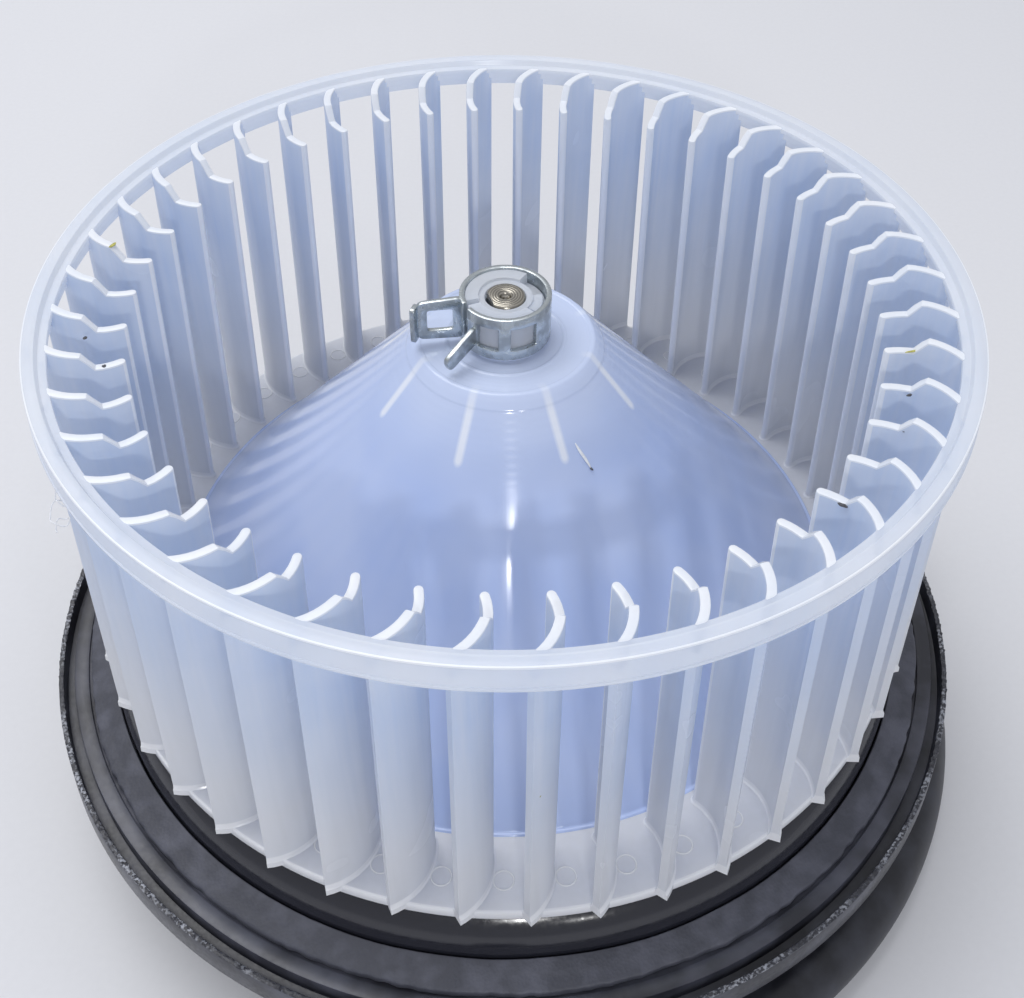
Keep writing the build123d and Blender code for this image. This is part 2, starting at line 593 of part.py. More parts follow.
def upper_retainer():
    """Spring cup under the can's ceiling that holds the upper bush up."""
    foot = UPPER_BUSH_Z - BUSH_H
    outer = BUSH_R + RETAINER_W
    inner = SHAFT_R + RETAINER_GAP
    return turned([(inner, foot - RETAINER_T), (outer, foot - RETAINER_T), (outer, CAN_TOP - CAN_T),
                   (outer - RETAINER_T, CAN_TOP - CAN_T), (outer - RETAINER_T, foot), (inner, foot)])


def lower_retainer():
    """Spring ring on the end plate that holds the lower bush down."""
    top = LOWER_BUSH_Z + BUSH_H
    outer = BUSH_R + RETAINER_W
    inner = SHAFT_R + RETAINER_GAP
    return turned([(inner, top), (BUSH_R - 0.4, top), (BUSH_R - 0.4, CAN_FOOT), (outer, CAN_FOOT),
                   (outer, CAN_FOOT + RETAINER_T), (inner, CAN_FOOT + RETAINER_T)])


def end_plate():
    """Pressed plate that closes the can and holds the lower bush and the brush gear."""
    seat = BUSH_R + 0.05
    z1 = CAN_FOOT
    z0 = z1 - PLATE_T
    foot = LOWER_BUSH_Z - 1.0
    return turned([
        (seat, z1), (CAN_R, z1), (CAN_R, z0), (seat + 1.5, z0), (seat + 1.5, foot),
        (0, foot), (0, LOWER_BUSH_Z), (seat, LOWER_BUSH_Z),
    ])


def thrust_pad():
    """Hard button that the shaft's lower end stands on."""
    return rod(SHAFT_R - 0.3, LOWER_BUSH_Z, SHAFT_FOOT - 0.05)


def brush(side):
    """Carbon block whose inner end is worn to the commutator's curve."""
    body = block(COMM_R - 1, COMM_R + 0.3 + BRUSH_L, -BRUSH_W / 2, BRUSH_W / 2, BRUSH_Z, BRUSH_Z + BRUSH_H)
    body -= rod(COMM_R + 0.3, BRUSH_Z - 1, BRUSH_Z + BRUSH_H + 1)
    return at(side, body)


def brush_holder(side):
    """Folded brass box, open towards the commutator, on its own foot."""
    gap = 0.1
    wall = 0.6
    x0 = COMM_R + 3.0
    x1 = CAN_IN_R - 3.0
    w = BRUSH_W / 2 + gap
    z0 = BRUSH_Z - gap
    z1 = BRUSH_Z + BRUSH_H + gap
    box = block(x0, x1, -w - wall, w + wall, CAN_FOOT, z1 + wall)
    box -= block(x0 - 1, x1 - wall, -w, w, z0, z1)
    box -= block(x0 - 1, x1 + 1, -w, w, CAN_FOOT - 1, z0 - wall)
    return at(side, box)


def brush_spring(side):
    """Hairpin leaf spring between the brush and the closed end of its box."""
    x0 = COMM_R + 0.3 + BRUSH_L
    x1 = CAN_IN_R - 3.0 - 0.6
    t = 0.35
    z0 = BRUSH_Z + 0.8
    z1 = BRUSH_Z + BRUSH_H - 0.8
    half = BRUSH_W / 2 - 0.3
    outline = [(x0, -half), (x0 + t, -half), (x0 + t, half - 0.8), (x1 - t, -half), (x1, -half),
               (x1, half), (x1 - t, half), (x1 - t, -half + 1.0), (x0 + t, half), (x0, half)]
    strip = Pos(0, 0, z0) * extrude(make_face(Polyline(*outline, close=True)), z1 - z0)
    return at(side, strip)


def choke_coils():
    """Two small wound chokes on ferrite rods that keep radio noise in."""
    coils = []
    for y in (-CHOKE_Y, CHOKE_Y):
        coils.append(Pos(0, y, CAN_FOOT + CHOKE_R) * Rot(0, 90, 0) * Cylinder(CHOKE_R, CHOKE_L))
    return coils


def rubber_mounts():
    """Three rubber buttons between the motor and its cover."""
    button = Pos(ISOLATOR_R, 0, 0) * rod(MOUNT_R, MOUNT_Z, CAN_FOOT - PLATE_T)
    return [at(ISOLATOR_PHASE + 120 * k, button) for k in range(3)]


def upper_grommet():
    """Rubber ring that centres the can in the cup."""
    top = CAN_TOP - GROMMET_DROP
    return tube(CUP_IN_R - 0.02, CAN_R + 0.02, top - GROMMET_H, top)


PARTS = {
    "blower_wheel": blower_wheel,
    "hub_clamp": hub_clamp,
    "motor_shaft": motor_shaft,
    "armature_core": armature_core,
    "armature_windings": armature_windings,
    "commutator": commutator,
    "spacer_sleeve": spacer_sleeve,
    "thrust_washers": thrust_washers,
    "oil_slinger": oil_slinger,
    "motor_housing": motor_housing,
    "foam_seal": foam_seal,
    "lower_cover": lower_cover,
    "cooling_tube": cooling_tube,
    "plug_socket": plug_socket,
    "plug_blades": plug_blades,
    "cover_screws": cover_screws,
    "motor_can": motor_can,
    "magnets": magnets,
    "magnet_clips": magnet_clips,
    "upper_bush": upper_bush,
    "lower_bush": lower_bush,
    "upper_retainer": upper_retainer,
    "lower_retainer": lower_retainer,
    "end_plate": end_plate,
    "thrust_pad": thrust_pad,
    "left_brush": lambda: brush(180),
    "right_brush": lambda: brush(0),
    "left_brush_holder": lambda: brush_holder(180),
    "right_brush_holder": lambda: brush_holder(0),
    "left_brush_spring": lambda: brush_spring(180),
    "right_brush_spring": lambda: brush_spring(0),
    "choke_coils": choke_coils,
    "rubber_mounts": rubber_mounts,
    "upper_grommet": upper_grommet,
}


def main():
    os.makedirs("parts", exist_ok=True)
    for name, make in PARTS.items():
        shape = make()
        if isinstance(shape, list):
            shape = Compound(children=[Compound(children=list(s.solids())) if len(s.solids()) > 1
                                       else s.solids()[0] for s in shape])
        export_step(shape, f"parts/{name}.step")


main()
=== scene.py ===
"""Looks of the cabin blower motor: a milky bladed wheel on a black moulded flange.

Lengths are written in millimetres and turned to metres where a mesh is made. The wheel turns about Z.
"""

import json
from math import atan2, cos, degrees, hypot, pi, radians, sin

import bmesh
import bpy
from mathutils import Matrix, Vector, noise


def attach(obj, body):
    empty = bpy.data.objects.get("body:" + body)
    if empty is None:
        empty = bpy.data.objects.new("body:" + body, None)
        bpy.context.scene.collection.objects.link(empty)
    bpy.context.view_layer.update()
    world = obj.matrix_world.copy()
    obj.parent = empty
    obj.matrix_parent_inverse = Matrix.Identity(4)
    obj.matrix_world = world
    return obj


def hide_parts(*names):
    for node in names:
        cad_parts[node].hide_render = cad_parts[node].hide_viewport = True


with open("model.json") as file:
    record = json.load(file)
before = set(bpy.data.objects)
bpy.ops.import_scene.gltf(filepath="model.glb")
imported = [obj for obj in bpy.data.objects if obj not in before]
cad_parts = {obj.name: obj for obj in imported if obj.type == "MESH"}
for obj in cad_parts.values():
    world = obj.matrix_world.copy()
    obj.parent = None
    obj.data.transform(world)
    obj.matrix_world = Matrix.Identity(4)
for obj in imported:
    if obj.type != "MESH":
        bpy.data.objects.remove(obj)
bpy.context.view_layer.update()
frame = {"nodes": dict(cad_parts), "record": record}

MM = 0.001
TURN = 2 * pi

# Sizes of the wheel, the same as the solid's
WHEEL_R = 75.0
WHEEL_Z = 43.6
RIM_Z = 110.0
RIM_W = 3.7
RIM_H = 4.8
RIM_LIP = 0.25
DISC_Z = 46.0
BLADES = 44
BLADE_T = 1.4
BLADE_TIP_R = 60.0
BLADE_LEAN = 3.2
BLADE_PHASE = 120.6
BLADE_TOP_Z = RIM_Z - 1.1
STEP_DROP = 2.55
STEP_R = 64.2
STEP_W = 2.3
BLADE_BELLY = 0.85
BLADE_SWEEP = 2.4
WHEEL_SEGMENTS = 264
PLATEAU_R = 14.8
PLATEAU_Z = 99.65
CONE_T = 3.0
CONE_FOOT_R = 61.5
CONE_SLOPE = (PLATEAU_Z - DISC_Z) / (CONE_FOOT_R - PLATEAU_R)
SLEEVE_Z = 73.65
BOSS_R = 6.55
BOSS_Z = 108.3
BORE_R = 3.33
RIBS = 8
RIB_R = 22.65
RIB_W = 1.15
RIB_PHASE = 26.0
HUB_RING_PITCH = 0.9
LATHE_PITCH = 0.42

# The photograph's viewpoint, in metres and degrees
CAMERA_PLACE = (0.0014, -0.1677, 0.2371)
CAMERA_TILT = 43.52
CAMERA_ROLL = 0.61
CAMERA_LENS = 45.79

# Sizes of the spring band
BAND_T = 0.9
BAND_H = 8.0
BAND_TOP = 108.6
BAND_WINDOWS = ((233.0, 262.0), (277.5, 313.0))
BAND_FIRST = 215.0
BAND_LAST = 564.0
EAR_L = 7.2
WIDE_EAR_DEG = 190.0
TONGUE_DEG = 229.0
TONGUE_DROOP = 20.0

# Sizes of the housing, the seal and the tube
DECK_Z = 42.2
ROLL = 8.0
COLLAR_R = 76.5
ROLL_Z = 34.2
FACE_Z = 30.7
SEAL_R = 82.3
SEAL_SEAT = 0.4
GROOVE_R = 85.05
GROOVE_W = 2.15
GROOVE_D = 4.2
EDGE_R = 88.2
EDGE_DROP = 0.9
FLANGE_R = 88.6
FLANGE_Z = 24.0
SKIN = 2.5
CUP_R = 36.5
CUP_Z = 68.0
JOINT_Z = 33.0
COVER_R = 40.0
COVER_SCREW_R = 47.0
EARS = 3
EAR_PCD_R = 94.0
EAR_HOLE_R = 2.75
EAR_R = 6.48
EAR_T = 4.0
EAR_PHASE = 30.0
TUBE_R = 6.45
TUBE_BORE_R = 5.25
TUBE_PATH_R = 86.8
TUBE_START_DEG = 20.0
TUBE_JOIN_DEG = -10.0
TUBE_END_DEG = -75.0
TUBE_Z = 7.3

# Small round marks that the mould's pins left on the base disc, one in each gap
MARK_RING_R = 69.5
MARK_PHASE = 270.6
MARK_R = 1.65


# Colours and nodes
def linear(code):
    """An sRGB hex value as linear colour."""
    parts = [int(code[k:k + 2], 16) / 255 for k in (0, 2, 4)]
    return [c / 12.92 if c <= 0.04045 else ((c + 0.055) / 1.055) ** 2.4 for c in parts] + [1.0]


def grain(size_mm):
    """The scale of a texture whose grains are about that many millimetres across."""
    return 1 / (size_mm * MM)


def add(tree, kind, feeds=(), **settings):
    """One node. feeds maps an input's name or number to a value, or to the node or socket that feeds it."""
    made = tree.nodes.new(kind)
    for name, value in settings.items():
        setattr(made, name, value)
    for name, value in dict(feeds).items():
        if isinstance(value, bpy.types.Node):
            value = value.outputs[0]
        if isinstance(value, bpy.types.NodeSocket):
            tree.links.new(value, made.inputs[name])
        else:
            made.inputs[name].default_value = value
    return made


def blank(name):
    """An empty material, its node tree and its Object coordinates."""
    made = bpy.data.materials.new(name)
    made.use_nodes = True
    tree = made.node_tree
    tree.nodes.clear()
    return made, tree, add(tree, "ShaderNodeTexCoord").outputs["Object"]


def radius_from_axis(tree, place):
    """Distance from the shaft's axis, in mm."""
    flat = add(tree, "ShaderNodeVectorMath", {0: place, 1: (1000.0, 1000.0, 0.0)}, operation="MULTIPLY")
    return add(tree, "ShaderNodeVectorMath", {0: flat}, operation="LENGTH").outputs["Value"]


def milky_polypropylene(name, thin, thick, lowest, gloss, passes, clear=0.0):
    """Natural polypropylene, injection moulded: cloudy and waxy. It passes part of the light on, flow lines
    run up the blades as the melt did, and the wheel's lower half looks a little warmer."""
    made, tree, place = blank(name)
    cloud = add(tree, "ShaderNodeTexNoise", {"Vector": place, "Scale": grain(16), "Detail": 2.0})
    cloudy = add(tree, "ShaderNodeMapRange", {0: cloud, 1: 0.38, 2: 0.62})
    upright = add(tree, "ShaderNodeMapping", {"Vector": place, "Scale": (1.0, 1.0, 0.035)})
    flow = add(tree, "ShaderNodeTexNoise", {"Vector": upright, "Scale": grain(1.3), "Detail": 2.0})
    tone = add(tree, "ShaderNodeMix", {0: cloudy, 6: linear(thin), 7: linear(thick)}, data_type="RGBA")
    height = add(tree, "ShaderNodeSeparateXYZ", {0: place}).outputs["Z"]
    low = add(tree, "ShaderNodeMapRange", {0: height, 1: 0.094, 2: 0.058, 3: 0.0, 4: 1.0})
    warm = add(tree, "ShaderNodeMix", {0: low, 6: tone.outputs[2], 7: linear(lowest)}, data_type="RGBA")
    streak = add(tree, "ShaderNodeMapRange", {0: flow, 1: 0.35, 2: 0.75, 3: 0.0, 4: 0.3})
    lined = add(tree, "ShaderNodeMix", {0: streak, 6: warm.outputs[2], 7: linear("F2F4FA")}, data_type="RGBA")
    rough = add(tree, "ShaderNodeMapRange", {0: cloud, 1: 0.3, 2: 0.7, 3: gloss, 4: gloss + 0.08})
    relief = add(tree, "ShaderNodeBump", {"Height": flow, "Strength": 0.12, "Distance": 0.05 * MM})
    skin = add(tree, "ShaderNodeBsdfPrincipled", {
        "Base Color": lined.outputs[2], "Roughness": rough, "Normal": relief, "IOR": 1.49})
    behind = add(tree, "ShaderNodeBsdfTranslucent", {"Color": lined.outputs[2]})
    sheet = add(tree, "ShaderNodeMixShader", {0: passes, 1: skin, 2: behind})
    if clear:
        through = add(tree, "ShaderNodeBsdfTransparent")
        sheet = add(tree, "ShaderNodeMixShader", {0: clear, 1: sheet, 2: through})
    add(tree, "ShaderNodeOutputMaterial", {"Surface": sheet})
    return made


def cone_polypropylene(name):
    """The same plastic over the dark motor cup, glossy enough to mirror the blades. Its bluer tone is painted
    shade, the dark cup seen through the wall; painted glare makes it paler round the top, and the ribs under
    the cone's top are painted on as pale streaks of light through the wall. Fine turned rings lie round the
    hub."""
    made, tree, place = blank(name)
    reach = radius_from_axis(tree, place)
    axes = add(tree, "ShaderNodeSeparateXYZ", {0: place}).outputs
    angle = add(tree, "ShaderNodeMath", {0: axes["Y"], 1: axes["X"]}, operation="ARCTAN2")
    turned = add(tree, "ShaderNodeMath", {0: angle, 1: radians(180 / RIBS - RIB_PHASE) + 2 * TURN})
    within = add(tree, "ShaderNodeMath", {0: turned, 1: TURN / RIBS}, operation="MODULO")
    off = add(tree, "ShaderNodeMath", {0: within, 1: pi / RIBS}, operation="SUBTRACT")
    side = add(tree, "ShaderNodeMath", {0: off, 1: reach}, operation="MULTIPLY")
    beyond = add(tree, "ShaderNodeMath", {0: reach, 1: RIB_R - 0.6}, operation="SUBTRACT")
    past = add(tree, "ShaderNodeMath", {0: beyond, 1: 0.0}, operation="MAXIMUM")
    spot = add(tree, "ShaderNodeCombineXYZ", {0: side, 1: past})
    away = add(tree, "ShaderNodeVectorMath", {0: spot}, operation="LENGTH").outputs["Value"]
    # Painted light: pale streaks where the ribs under the wall would show through
    line = add(tree, "ShaderNodeMapRange", {
        0: away, 1: RIB_W / 2 + 0.35, 2: RIB_W / 2 - 0.25, 3: 0.0, 4: 1.0})
    start = add(tree, "ShaderNodeMapRange", {
        0: reach, 1: PLATEAU_R - 2.0, 2: PLATEAU_R + 2.5, 3: 0.0, 4: 0.8})
    streak = add(tree, "ShaderNodeMath", {0: line, 1: start}, operation="MULTIPLY")
    # Painted highlight: the cone is painted paler round its top as a glare
    painted_glare = add(tree, "ShaderNodeMapRange", {0: reach, 1: 26.0, 2: 13.0, 3: 0.0, 4: 0.55})
    cloud = add(tree, "ShaderNodeTexNoise", {"Vector": place, "Scale": grain(20), "Detail": 2.0})
    cloudy = add(tree, "ShaderNodeMapRange", {0: cloud, 1: 0.38, 2: 0.62})
    # Painted shade: the bluer tone stands for the dark cup seen through the wall
    tone = add(tree, "ShaderNodeMix", {0: cloudy, 6: linear("B6C8F1"), 7: linear("C2D1F4")}, data_type="RGBA")
    with_painted_glare = add(tree, "ShaderNodeMix", {0: painted_glare, 6: tone.outputs[2], 7: linear("D8E2F6")}, data_type="RGBA")
    with_painted_rib_light = add(tree, "ShaderNodeMix", {
        0: streak, 6: with_painted_glare.outputs[2], 7: linear("F4F8FF")}, data_type="RGBA")
    wave = add(tree, "ShaderNodeMath", {0: reach, 1: TURN / HUB_RING_PITCH}, operation="MULTIPLY")
    rings = add(tree, "ShaderNodeMath", {0: wave}, operation="SINE")
    fade = add(tree, "ShaderNodeMapRange", {0: reach, 1: 25.0, 2: 16.0, 3: 0.0, 4: 0.12})
    faint = add(tree, "ShaderNodeMath", {0: rings, 1: fade}, operation="MULTIPLY")
    ripple = add(tree, "ShaderNodeTexNoise", {"Vector": place, "Scale": grain(9), "Detail": 1.0})
    surface = add(tree, "ShaderNodeMath", {0: faint, 1: ripple})
    relief = add(tree, "ShaderNodeBump", {"Height": surface, "Strength": 0.35, "Distance": 0.12 * MM})
    rough = add(tree, "ShaderNodeMapRange", {0: cloud, 1: 0.3, 2: 0.7, 3: 0.09, 4: 0.15})
    skin = add(tree, "ShaderNodeBsdfPrincipled", {
        "Base Color": with_painted_rib_light.outputs[2], "Roughness": rough, "Normal": relief, "IOR": 1.52})
    behind = add(tree, "ShaderNodeBsdfTranslucent", {"Color": with_painted_rib_light.outputs[2]})
    sheet = add(tree, "ShaderNodeMixShader", {0: 0.1, 1: skin, 2: behind})
    add(tree, "ShaderNodeOutputMaterial", {"Surface": sheet})
    return made


def zinc_plate(name):
    """Spring steel with bright zinc plate: pale, a little blue, with dull patches and fine pits."""
    made, tree, place = blank(name)
    pits = add(tree, "ShaderNodeTexNoise", {"Vector": place, "Scale": grain(0.4), "Detail": 4.0})
    patch = add(tree, "ShaderNodeTexNoise", {"Vector": place, "Scale": grain(2.2), "Detail": 3.0})
    dull = add(tree, "ShaderNodeMapRange", {0: patch, 1: 0.4, 2: 0.62})
    tone = add(tree, "ShaderNodeMix", {0: dull, 6: linear("C9D0D2"), 7: linear("A9AFB2")}, data_type="RGBA")
    rough = add(tree, "ShaderNodeMapRange", {0: patch, 1: 0.4, 2: 0.62, 3: 0.2, 4: 0.42})
    relief = add(tree, "ShaderNodeBump", {"Height": pits, "Strength": 0.4, "Distance": 0.05 * MM})
    skin = add(tree, "ShaderNodeBsdfPrincipled", {
        "Base Color": tone.outputs[2], "Roughness": rough, "Normal": relief, "Metallic": 1.0})
    add(tree, "ShaderNodeOutputMaterial", {"Surface": skin})
    return made


def turned_steel(name):
    """Faced shaft steel, a warm grey: rings that the lathe's tool left on the end, as relief, with painted
    highlight in light and dark bands along them.
    """
    made, tree, place = blank(name)
    reach = radius_from_axis(tree, place)
    wave = add(tree, "ShaderNodeMath", {0: reach, 1: TURN / LATHE_PITCH}, operation="MULTIPLY")
    rings = add(tree, "ShaderNodeMath", {0: wave}, operation="SINE")
    # Painted highlight: the colour goes light and dark along the tool rings
    line = add(tree, "ShaderNodeMapRange", {0: rings, 1: -1.0, 2: 1.0})
    tone = add(tree, "ShaderNodeMix", {0: line, 6: linear("8B877E"), 7: linear("B8B3A8")}, data_type="RGBA")
    relief = add(tree, "ShaderNodeBump", {"Height": rings, "Strength": 0.5, "Distance": 0.03 * MM})
    skin = add(tree, "ShaderNodeBsdfPrincipled", {
        "Base Color": tone.outputs[2], "Roughness": 0.26, "Normal": relief, "Metallic": 1.0})
    add(tree, "ShaderNodeOutputMaterial", {"Surface": skin})
    return made


def moulded_black(name):
    """Black glass-filled polyamide, injection moulded: the rolled collar is glossy, and the flat face and
    the flange are duller, and paler in noisy patches below the collar's height."""
    made, tree, place = blank(name)
    haze = add(tree, "ShaderNodeTexNoise", {"Vector": place, "Scale": grain(11), "Detail": 4.0})
    fine = add(tree, "ShaderNodeTexNoise", {"Vector": place, "Scale": grain(0.8), "Detail": 3.0})
    height = add(tree, "ShaderNodeSeparateXYZ", {0: place}).outputs["Z"]
    # Paler in noisy patches below the collar's height
    below_collar = add(tree, "ShaderNodeMapRange", {0: height, 1: 0.0335, 2: 0.0305, 3: 0.0, 4: 1.0})
    patch_noise = add(tree, "ShaderNodeMapRange", {0: haze, 1: 0.38, 2: 0.68})
    pale_patches_below_collar = add(tree, "ShaderNodeMath", {0: patch_noise, 1: below_collar}, operation="MULTIPLY")
    tone = add(tree, "ShaderNodeMix", {0: pale_patches_below_collar, 6: linear("25262E"), 7: linear("51535F")}, data_type="RGBA")
    sheen = add(tree, "ShaderNodeMapRange", {0: height, 1: 0.0335, 2: 0.0305, 3: 0.12, 4: 0.3})
    spread = add(tree, "ShaderNodeMapRange", {0: fine, 1: 0.3, 2: 0.7, 3: 0.0, 4: 0.12})
    rough = add(tree, "ShaderNodeMath", {0: sheen, 1: spread})
    relief = add(tree, "ShaderNodeBump", {"Height": fine, "Strength": 0.3, "Distance": 0.04 * MM})
    skin = add(tree, "ShaderNodeBsdfPrincipled", {
        "Base Color": tone.outputs[2], "Roughness": rough, "Normal": relief, "IOR": 1.53})
    add(tree, "ShaderNodeOutputMaterial", {"Surface": skin})
    return made


def closed_cell_foam(name):
    """Closed-cell neoprene foam, die cut and pressed flat: matt slate grey with small cells and pale dust
    that was rubbed along the ring."""
    made, tree, place = blank(name)
    cells = add(tree, "ShaderNodeTexVoronoi", {"Vector": place, "Scale": grain(0.6)}).outputs["Distance"]
    patch_noise = add(tree, "ShaderNodeTexNoise", {"Vector": place, "Scale": grain(5), "Detail": 5.0})
    pale = add(tree, "ShaderNodeMapRange", {0: patch_noise, 1: 0.42, 2: 0.7})
    tone = add(tree, "ShaderNodeMix", {0: pale, 6: linear("42444E"), 7: linear("585A66")}, data_type="RGBA")
    both = add(tree, "ShaderNodeMath", {0: cells, 1: patch_noise})
    relief = add(tree, "ShaderNodeBump", {"Height": both, "Strength": 0.4, "Distance": 0.15 * MM})
    skin = add(tree, "ShaderNodeBsdfPrincipled", {
        "Base Color": tone.outputs[2], "Roughness": 0.55, "Normal": relief})
    add(tree, "ShaderNodeOutputMaterial", {"Surface": skin})
    return made


def torn_flash(name):
    """Torn moulding flash: crumbly black plastic with pale, stressed specks."""
    made, tree, place = blank(name)
    crumb = add(tree, "ShaderNodeTexNoise", {"Vector": place, "Scale": grain(0.55), "Detail": 4.0})
    patch = add(tree, "ShaderNodeTexNoise", {"Vector": place, "Scale": grain(7), "Detail": 2.0})
    specks = add(tree, "ShaderNodeMapRange", {0: crumb, 1: 0.46, 2: 0.62})
    share = add(tree, "ShaderNodeMapRange", {0: patch, 1: 0.42, 2: 0.66, 3: 0.05, 4: 0.7})
    pale = add(tree, "ShaderNodeMath", {0: specks, 1: share}, operation="MULTIPLY")
    tone = add(tree, "ShaderNodeMix", {0: pale, 6: linear("2A2B33"), 7: linear("C4C8D2")}, data_type="RGBA")
    relief = add(tree, "ShaderNodeBump", {"Height": crumb, "Strength": 0.8, "Distance": 0.2 * MM})
    skin = add(tree, "ShaderNodeBsdfPrincipled", {
        "Base Color": tone.outputs[2], "Roughness": 0.38, "Normal": relief})
    add(tree, "ShaderNodeOutputMaterial", {"Surface": skin})
    return made


def moulded_rubber(name):
    """Moulded rubber: deep black with a dull sheen and faint bloom."""
    made, tree, place = blank(name)
    bloom = add(tree, "ShaderNodeTexNoise", {"Vector": place, "Scale": grain(6), "Detail": 4.0})
    fine = add(tree, "ShaderNodeTexNoise", {"Vector": place, "Scale": grain(0.7), "Detail": 2.0})
    pale = add(tree, "ShaderNodeMapRange", {0: bloom, 1: 0.4, 2: 0.7})
    tone = add(tree, "ShaderNodeMix", {0: pale, 6: linear("1D1E25"), 7: linear("34363F")}, data_type="RGBA")
    rough = add(tree, "ShaderNodeMapRange", {0: bloom, 1: 0.3, 2: 0.7, 3: 0.32, 4: 0.5})
    relief = add(tree, "ShaderNodeBump", {"Height": fine, "Strength": 0.25, "Distance": 0.05 * MM})
    skin = add(tree, "ShaderNodeBsdfPrincipled", {
        "Base Color": tone.outputs[2], "Roughness": rough, "Normal": relief})
    add(tree, "ShaderNodeOutputMaterial", {"Surface": skin})
    return made


def plain_finish(name, low, high, metal, rough, grain_mm):
    """The finish of a small or hidden piece, with the grain of its real material."""
    made, tree, place = blank(name)
    grains = add(tree, "ShaderNodeTexNoise", {"Vector": place, "Scale": grain(grain_mm), "Detail": 3.0})
    share = add(tree, "ShaderNodeMapRange", {0: grains, 1: 0.3, 2: 0.7})
    tone = add(tree, "ShaderNodeMix", {0: share, 6: linear(low), 7: linear(high)}, data_type="RGBA")
    gloss = add(tree, "ShaderNodeMapRange", {0: grains, 1: 0.3, 2: 0.7, 3: rough, 4: rough + 0.12})
    relief = add(tree, "ShaderNodeBump", {"Height": grains, "Strength": 0.3, "Distance": 0.03 * MM})
    skin = add(tree, "ShaderNodeBsdfPrincipled", {
        "Base Color": tone.outputs[2], "Roughness": gloss, "Normal": relief, "Metallic": metal})
    add(tree, "ShaderNodeOutputMaterial", {"Surface": skin})
    return made


CONE_PLASTIC = cone_polypropylene("cone_polypropylene")
BLADE_PLASTIC = milky_polypropylene("blade_polypropylene", "DAE6F8", "E2EBF9", "EAECF0", 0.2, 0.35)
# Painted highlight: a near-white finish for the edges that catch the light
EDGE_HIGHLIGHT_PLASTIC = milky_polypropylene("thin_edge_polypropylene", "F6FAFF", "FAFCFF", "F8F9FB", 0.18, 0.25)
RIM_PLASTIC = milky_polypropylene("rim_polypropylene", "EEF4FD", "F4F8FE", "F4F8FE", 0.14, 0.35, 0.28)
WHEEL_FINISHES = [CONE_PLASTIC, BLADE_PLASTIC, EDGE_HIGHLIGHT_PLASTIC, RIM_PLASTIC]
CONE, BLADE, EDGE, RIM = range(4)
ZINC = zinc_plate("zinc_plated_spring_steel")
SHAFT_STEEL = turned_steel("turned_shaft_steel")
BLACK = moulded_black("moulded_black_polyamide")
FOAM = closed_cell_foam("closed_cell_neoprene")
RUBBER = moulded_rubber("moulded_rubber")
FLASH = torn_flash("torn_polyamide_flash")
LINT = plain_finish("polyester_lint", "D9DCE2", "F0F2F5", 0.0, 0.5, 0.4)
DRIED_RESIN = plain_finish("dried_leaf_crumbs", "8E8A3A", "C9C56A", 0.0, 0.5, 0.5)
GRIT = plain_finish("dark_grit", "2C2D33", "55565C", 0.0, 0.5, 0.3)
FINISHES = {
    "lamination_steel": plain_finish("varnished_lamination_steel", "3C3D40", "56575A", 1.0, 0.4, 0.5),
    "copper": plain_finish("enamelled_copper", "9A4E2C", "B9683C", 1.0, 0.3, 0.4),
    "fibre": plain_finish("pressed_fibre", "6B3F27", "84543A", 0.0, 0.6, 0.6),
    "white_plastic": plain_finish("white_acetal", "D6D6CF", "E4E4DE", 0.0, 0.35, 1.5),
    "can_steel": plain_finish("zinc_plated_drawn_steel", "8E8F8C", "ABACA8", 1.0, 0.35, 1.2),
    "ferrite": plain_finish("ground_ferrite", "2A2A2D", "38383C", 0.0, 0.55, 0.4),
    "spring_steel": plain_finish("rolled_spring_strip", "77787A", "94969A", 1.0, 0.25, 0.3),
    "sintered_bronze": plain_finish("oiled_sintered_bronze", "71522F", "8B6A40", 1.0, 0.45, 0.3),
    "brass_sheet": plain_finish("rolled_brass", "B8924A", "CFAA60", 1.0, 0.3, 0.6),
    "carbon": plain_finish("pressed_carbon", "1B1B1C", "2A2A2B", 0.0, 0.5, 0.3),
    "tinned_blade": plain_finish("tinned_brass", "B4B4AE", "CDCDC8", 1.0, 0.3, 0.5),
    "milky_plastic": BLADE_PLASTIC,
    "zinc_spring": ZINC,
    "shaft_steel": SHAFT_STEEL,
    "black_plastic": BLACK,
    "foam": FOAM,
    "black_rubber": RUBBER,
}
SLOT_OF = {part["node"]: part["material_slot"] for part in frame["record"]["subparts"]}


# Shapes
def link(item):
    bpy.context.scene.collection.objects.link(item)
    return item


def smooth(mesh, angle=32):
    mesh.shade_smooth()
    mesh.set_sharp_from_angle(angle=radians(angle))


def to_object(name, bm, finishes):
    """The bmesh as an object, with its faces outwards and its curved faces shaded smooth."""
    bmesh.ops.remove_doubles(bm, verts=bm.verts, dist=1e-7)
    bmesh.ops.recalc_face_normals(bm, faces=bm.faces)
    mesh = bpy.data.meshes.new(name)
    bm.to_mesh(mesh)
    bm.free()
    for item in finishes:
        mesh.materials.append(item)
    smooth(mesh)
    return link(bpy.data.objects.new(name, mesh))


def baked(owner, name):
    """The evaluated object as a plain new one; the source is removed."""
    bpy.context.view_layer.update()
    depsgraph = bpy.context.evaluated_depsgraph_get()
    mesh = bpy.data.meshes.new_from_object(owner.evaluated_get(depsgraph), depsgraph=depsgraph)
    bpy.data.objects.remove(owner)
    return link(bpy.data.objects.new(name, mesh))


def joined(name, parts):
    """One object from several, with the first one's finishes."""
    bm = bmesh.new()
    finishes = list(parts[0].data.materials)
    for part in parts:
        bm.from_mesh(part.data)
        bpy.data.objects.remove(part)
    return to_object(name, bm, finishes)


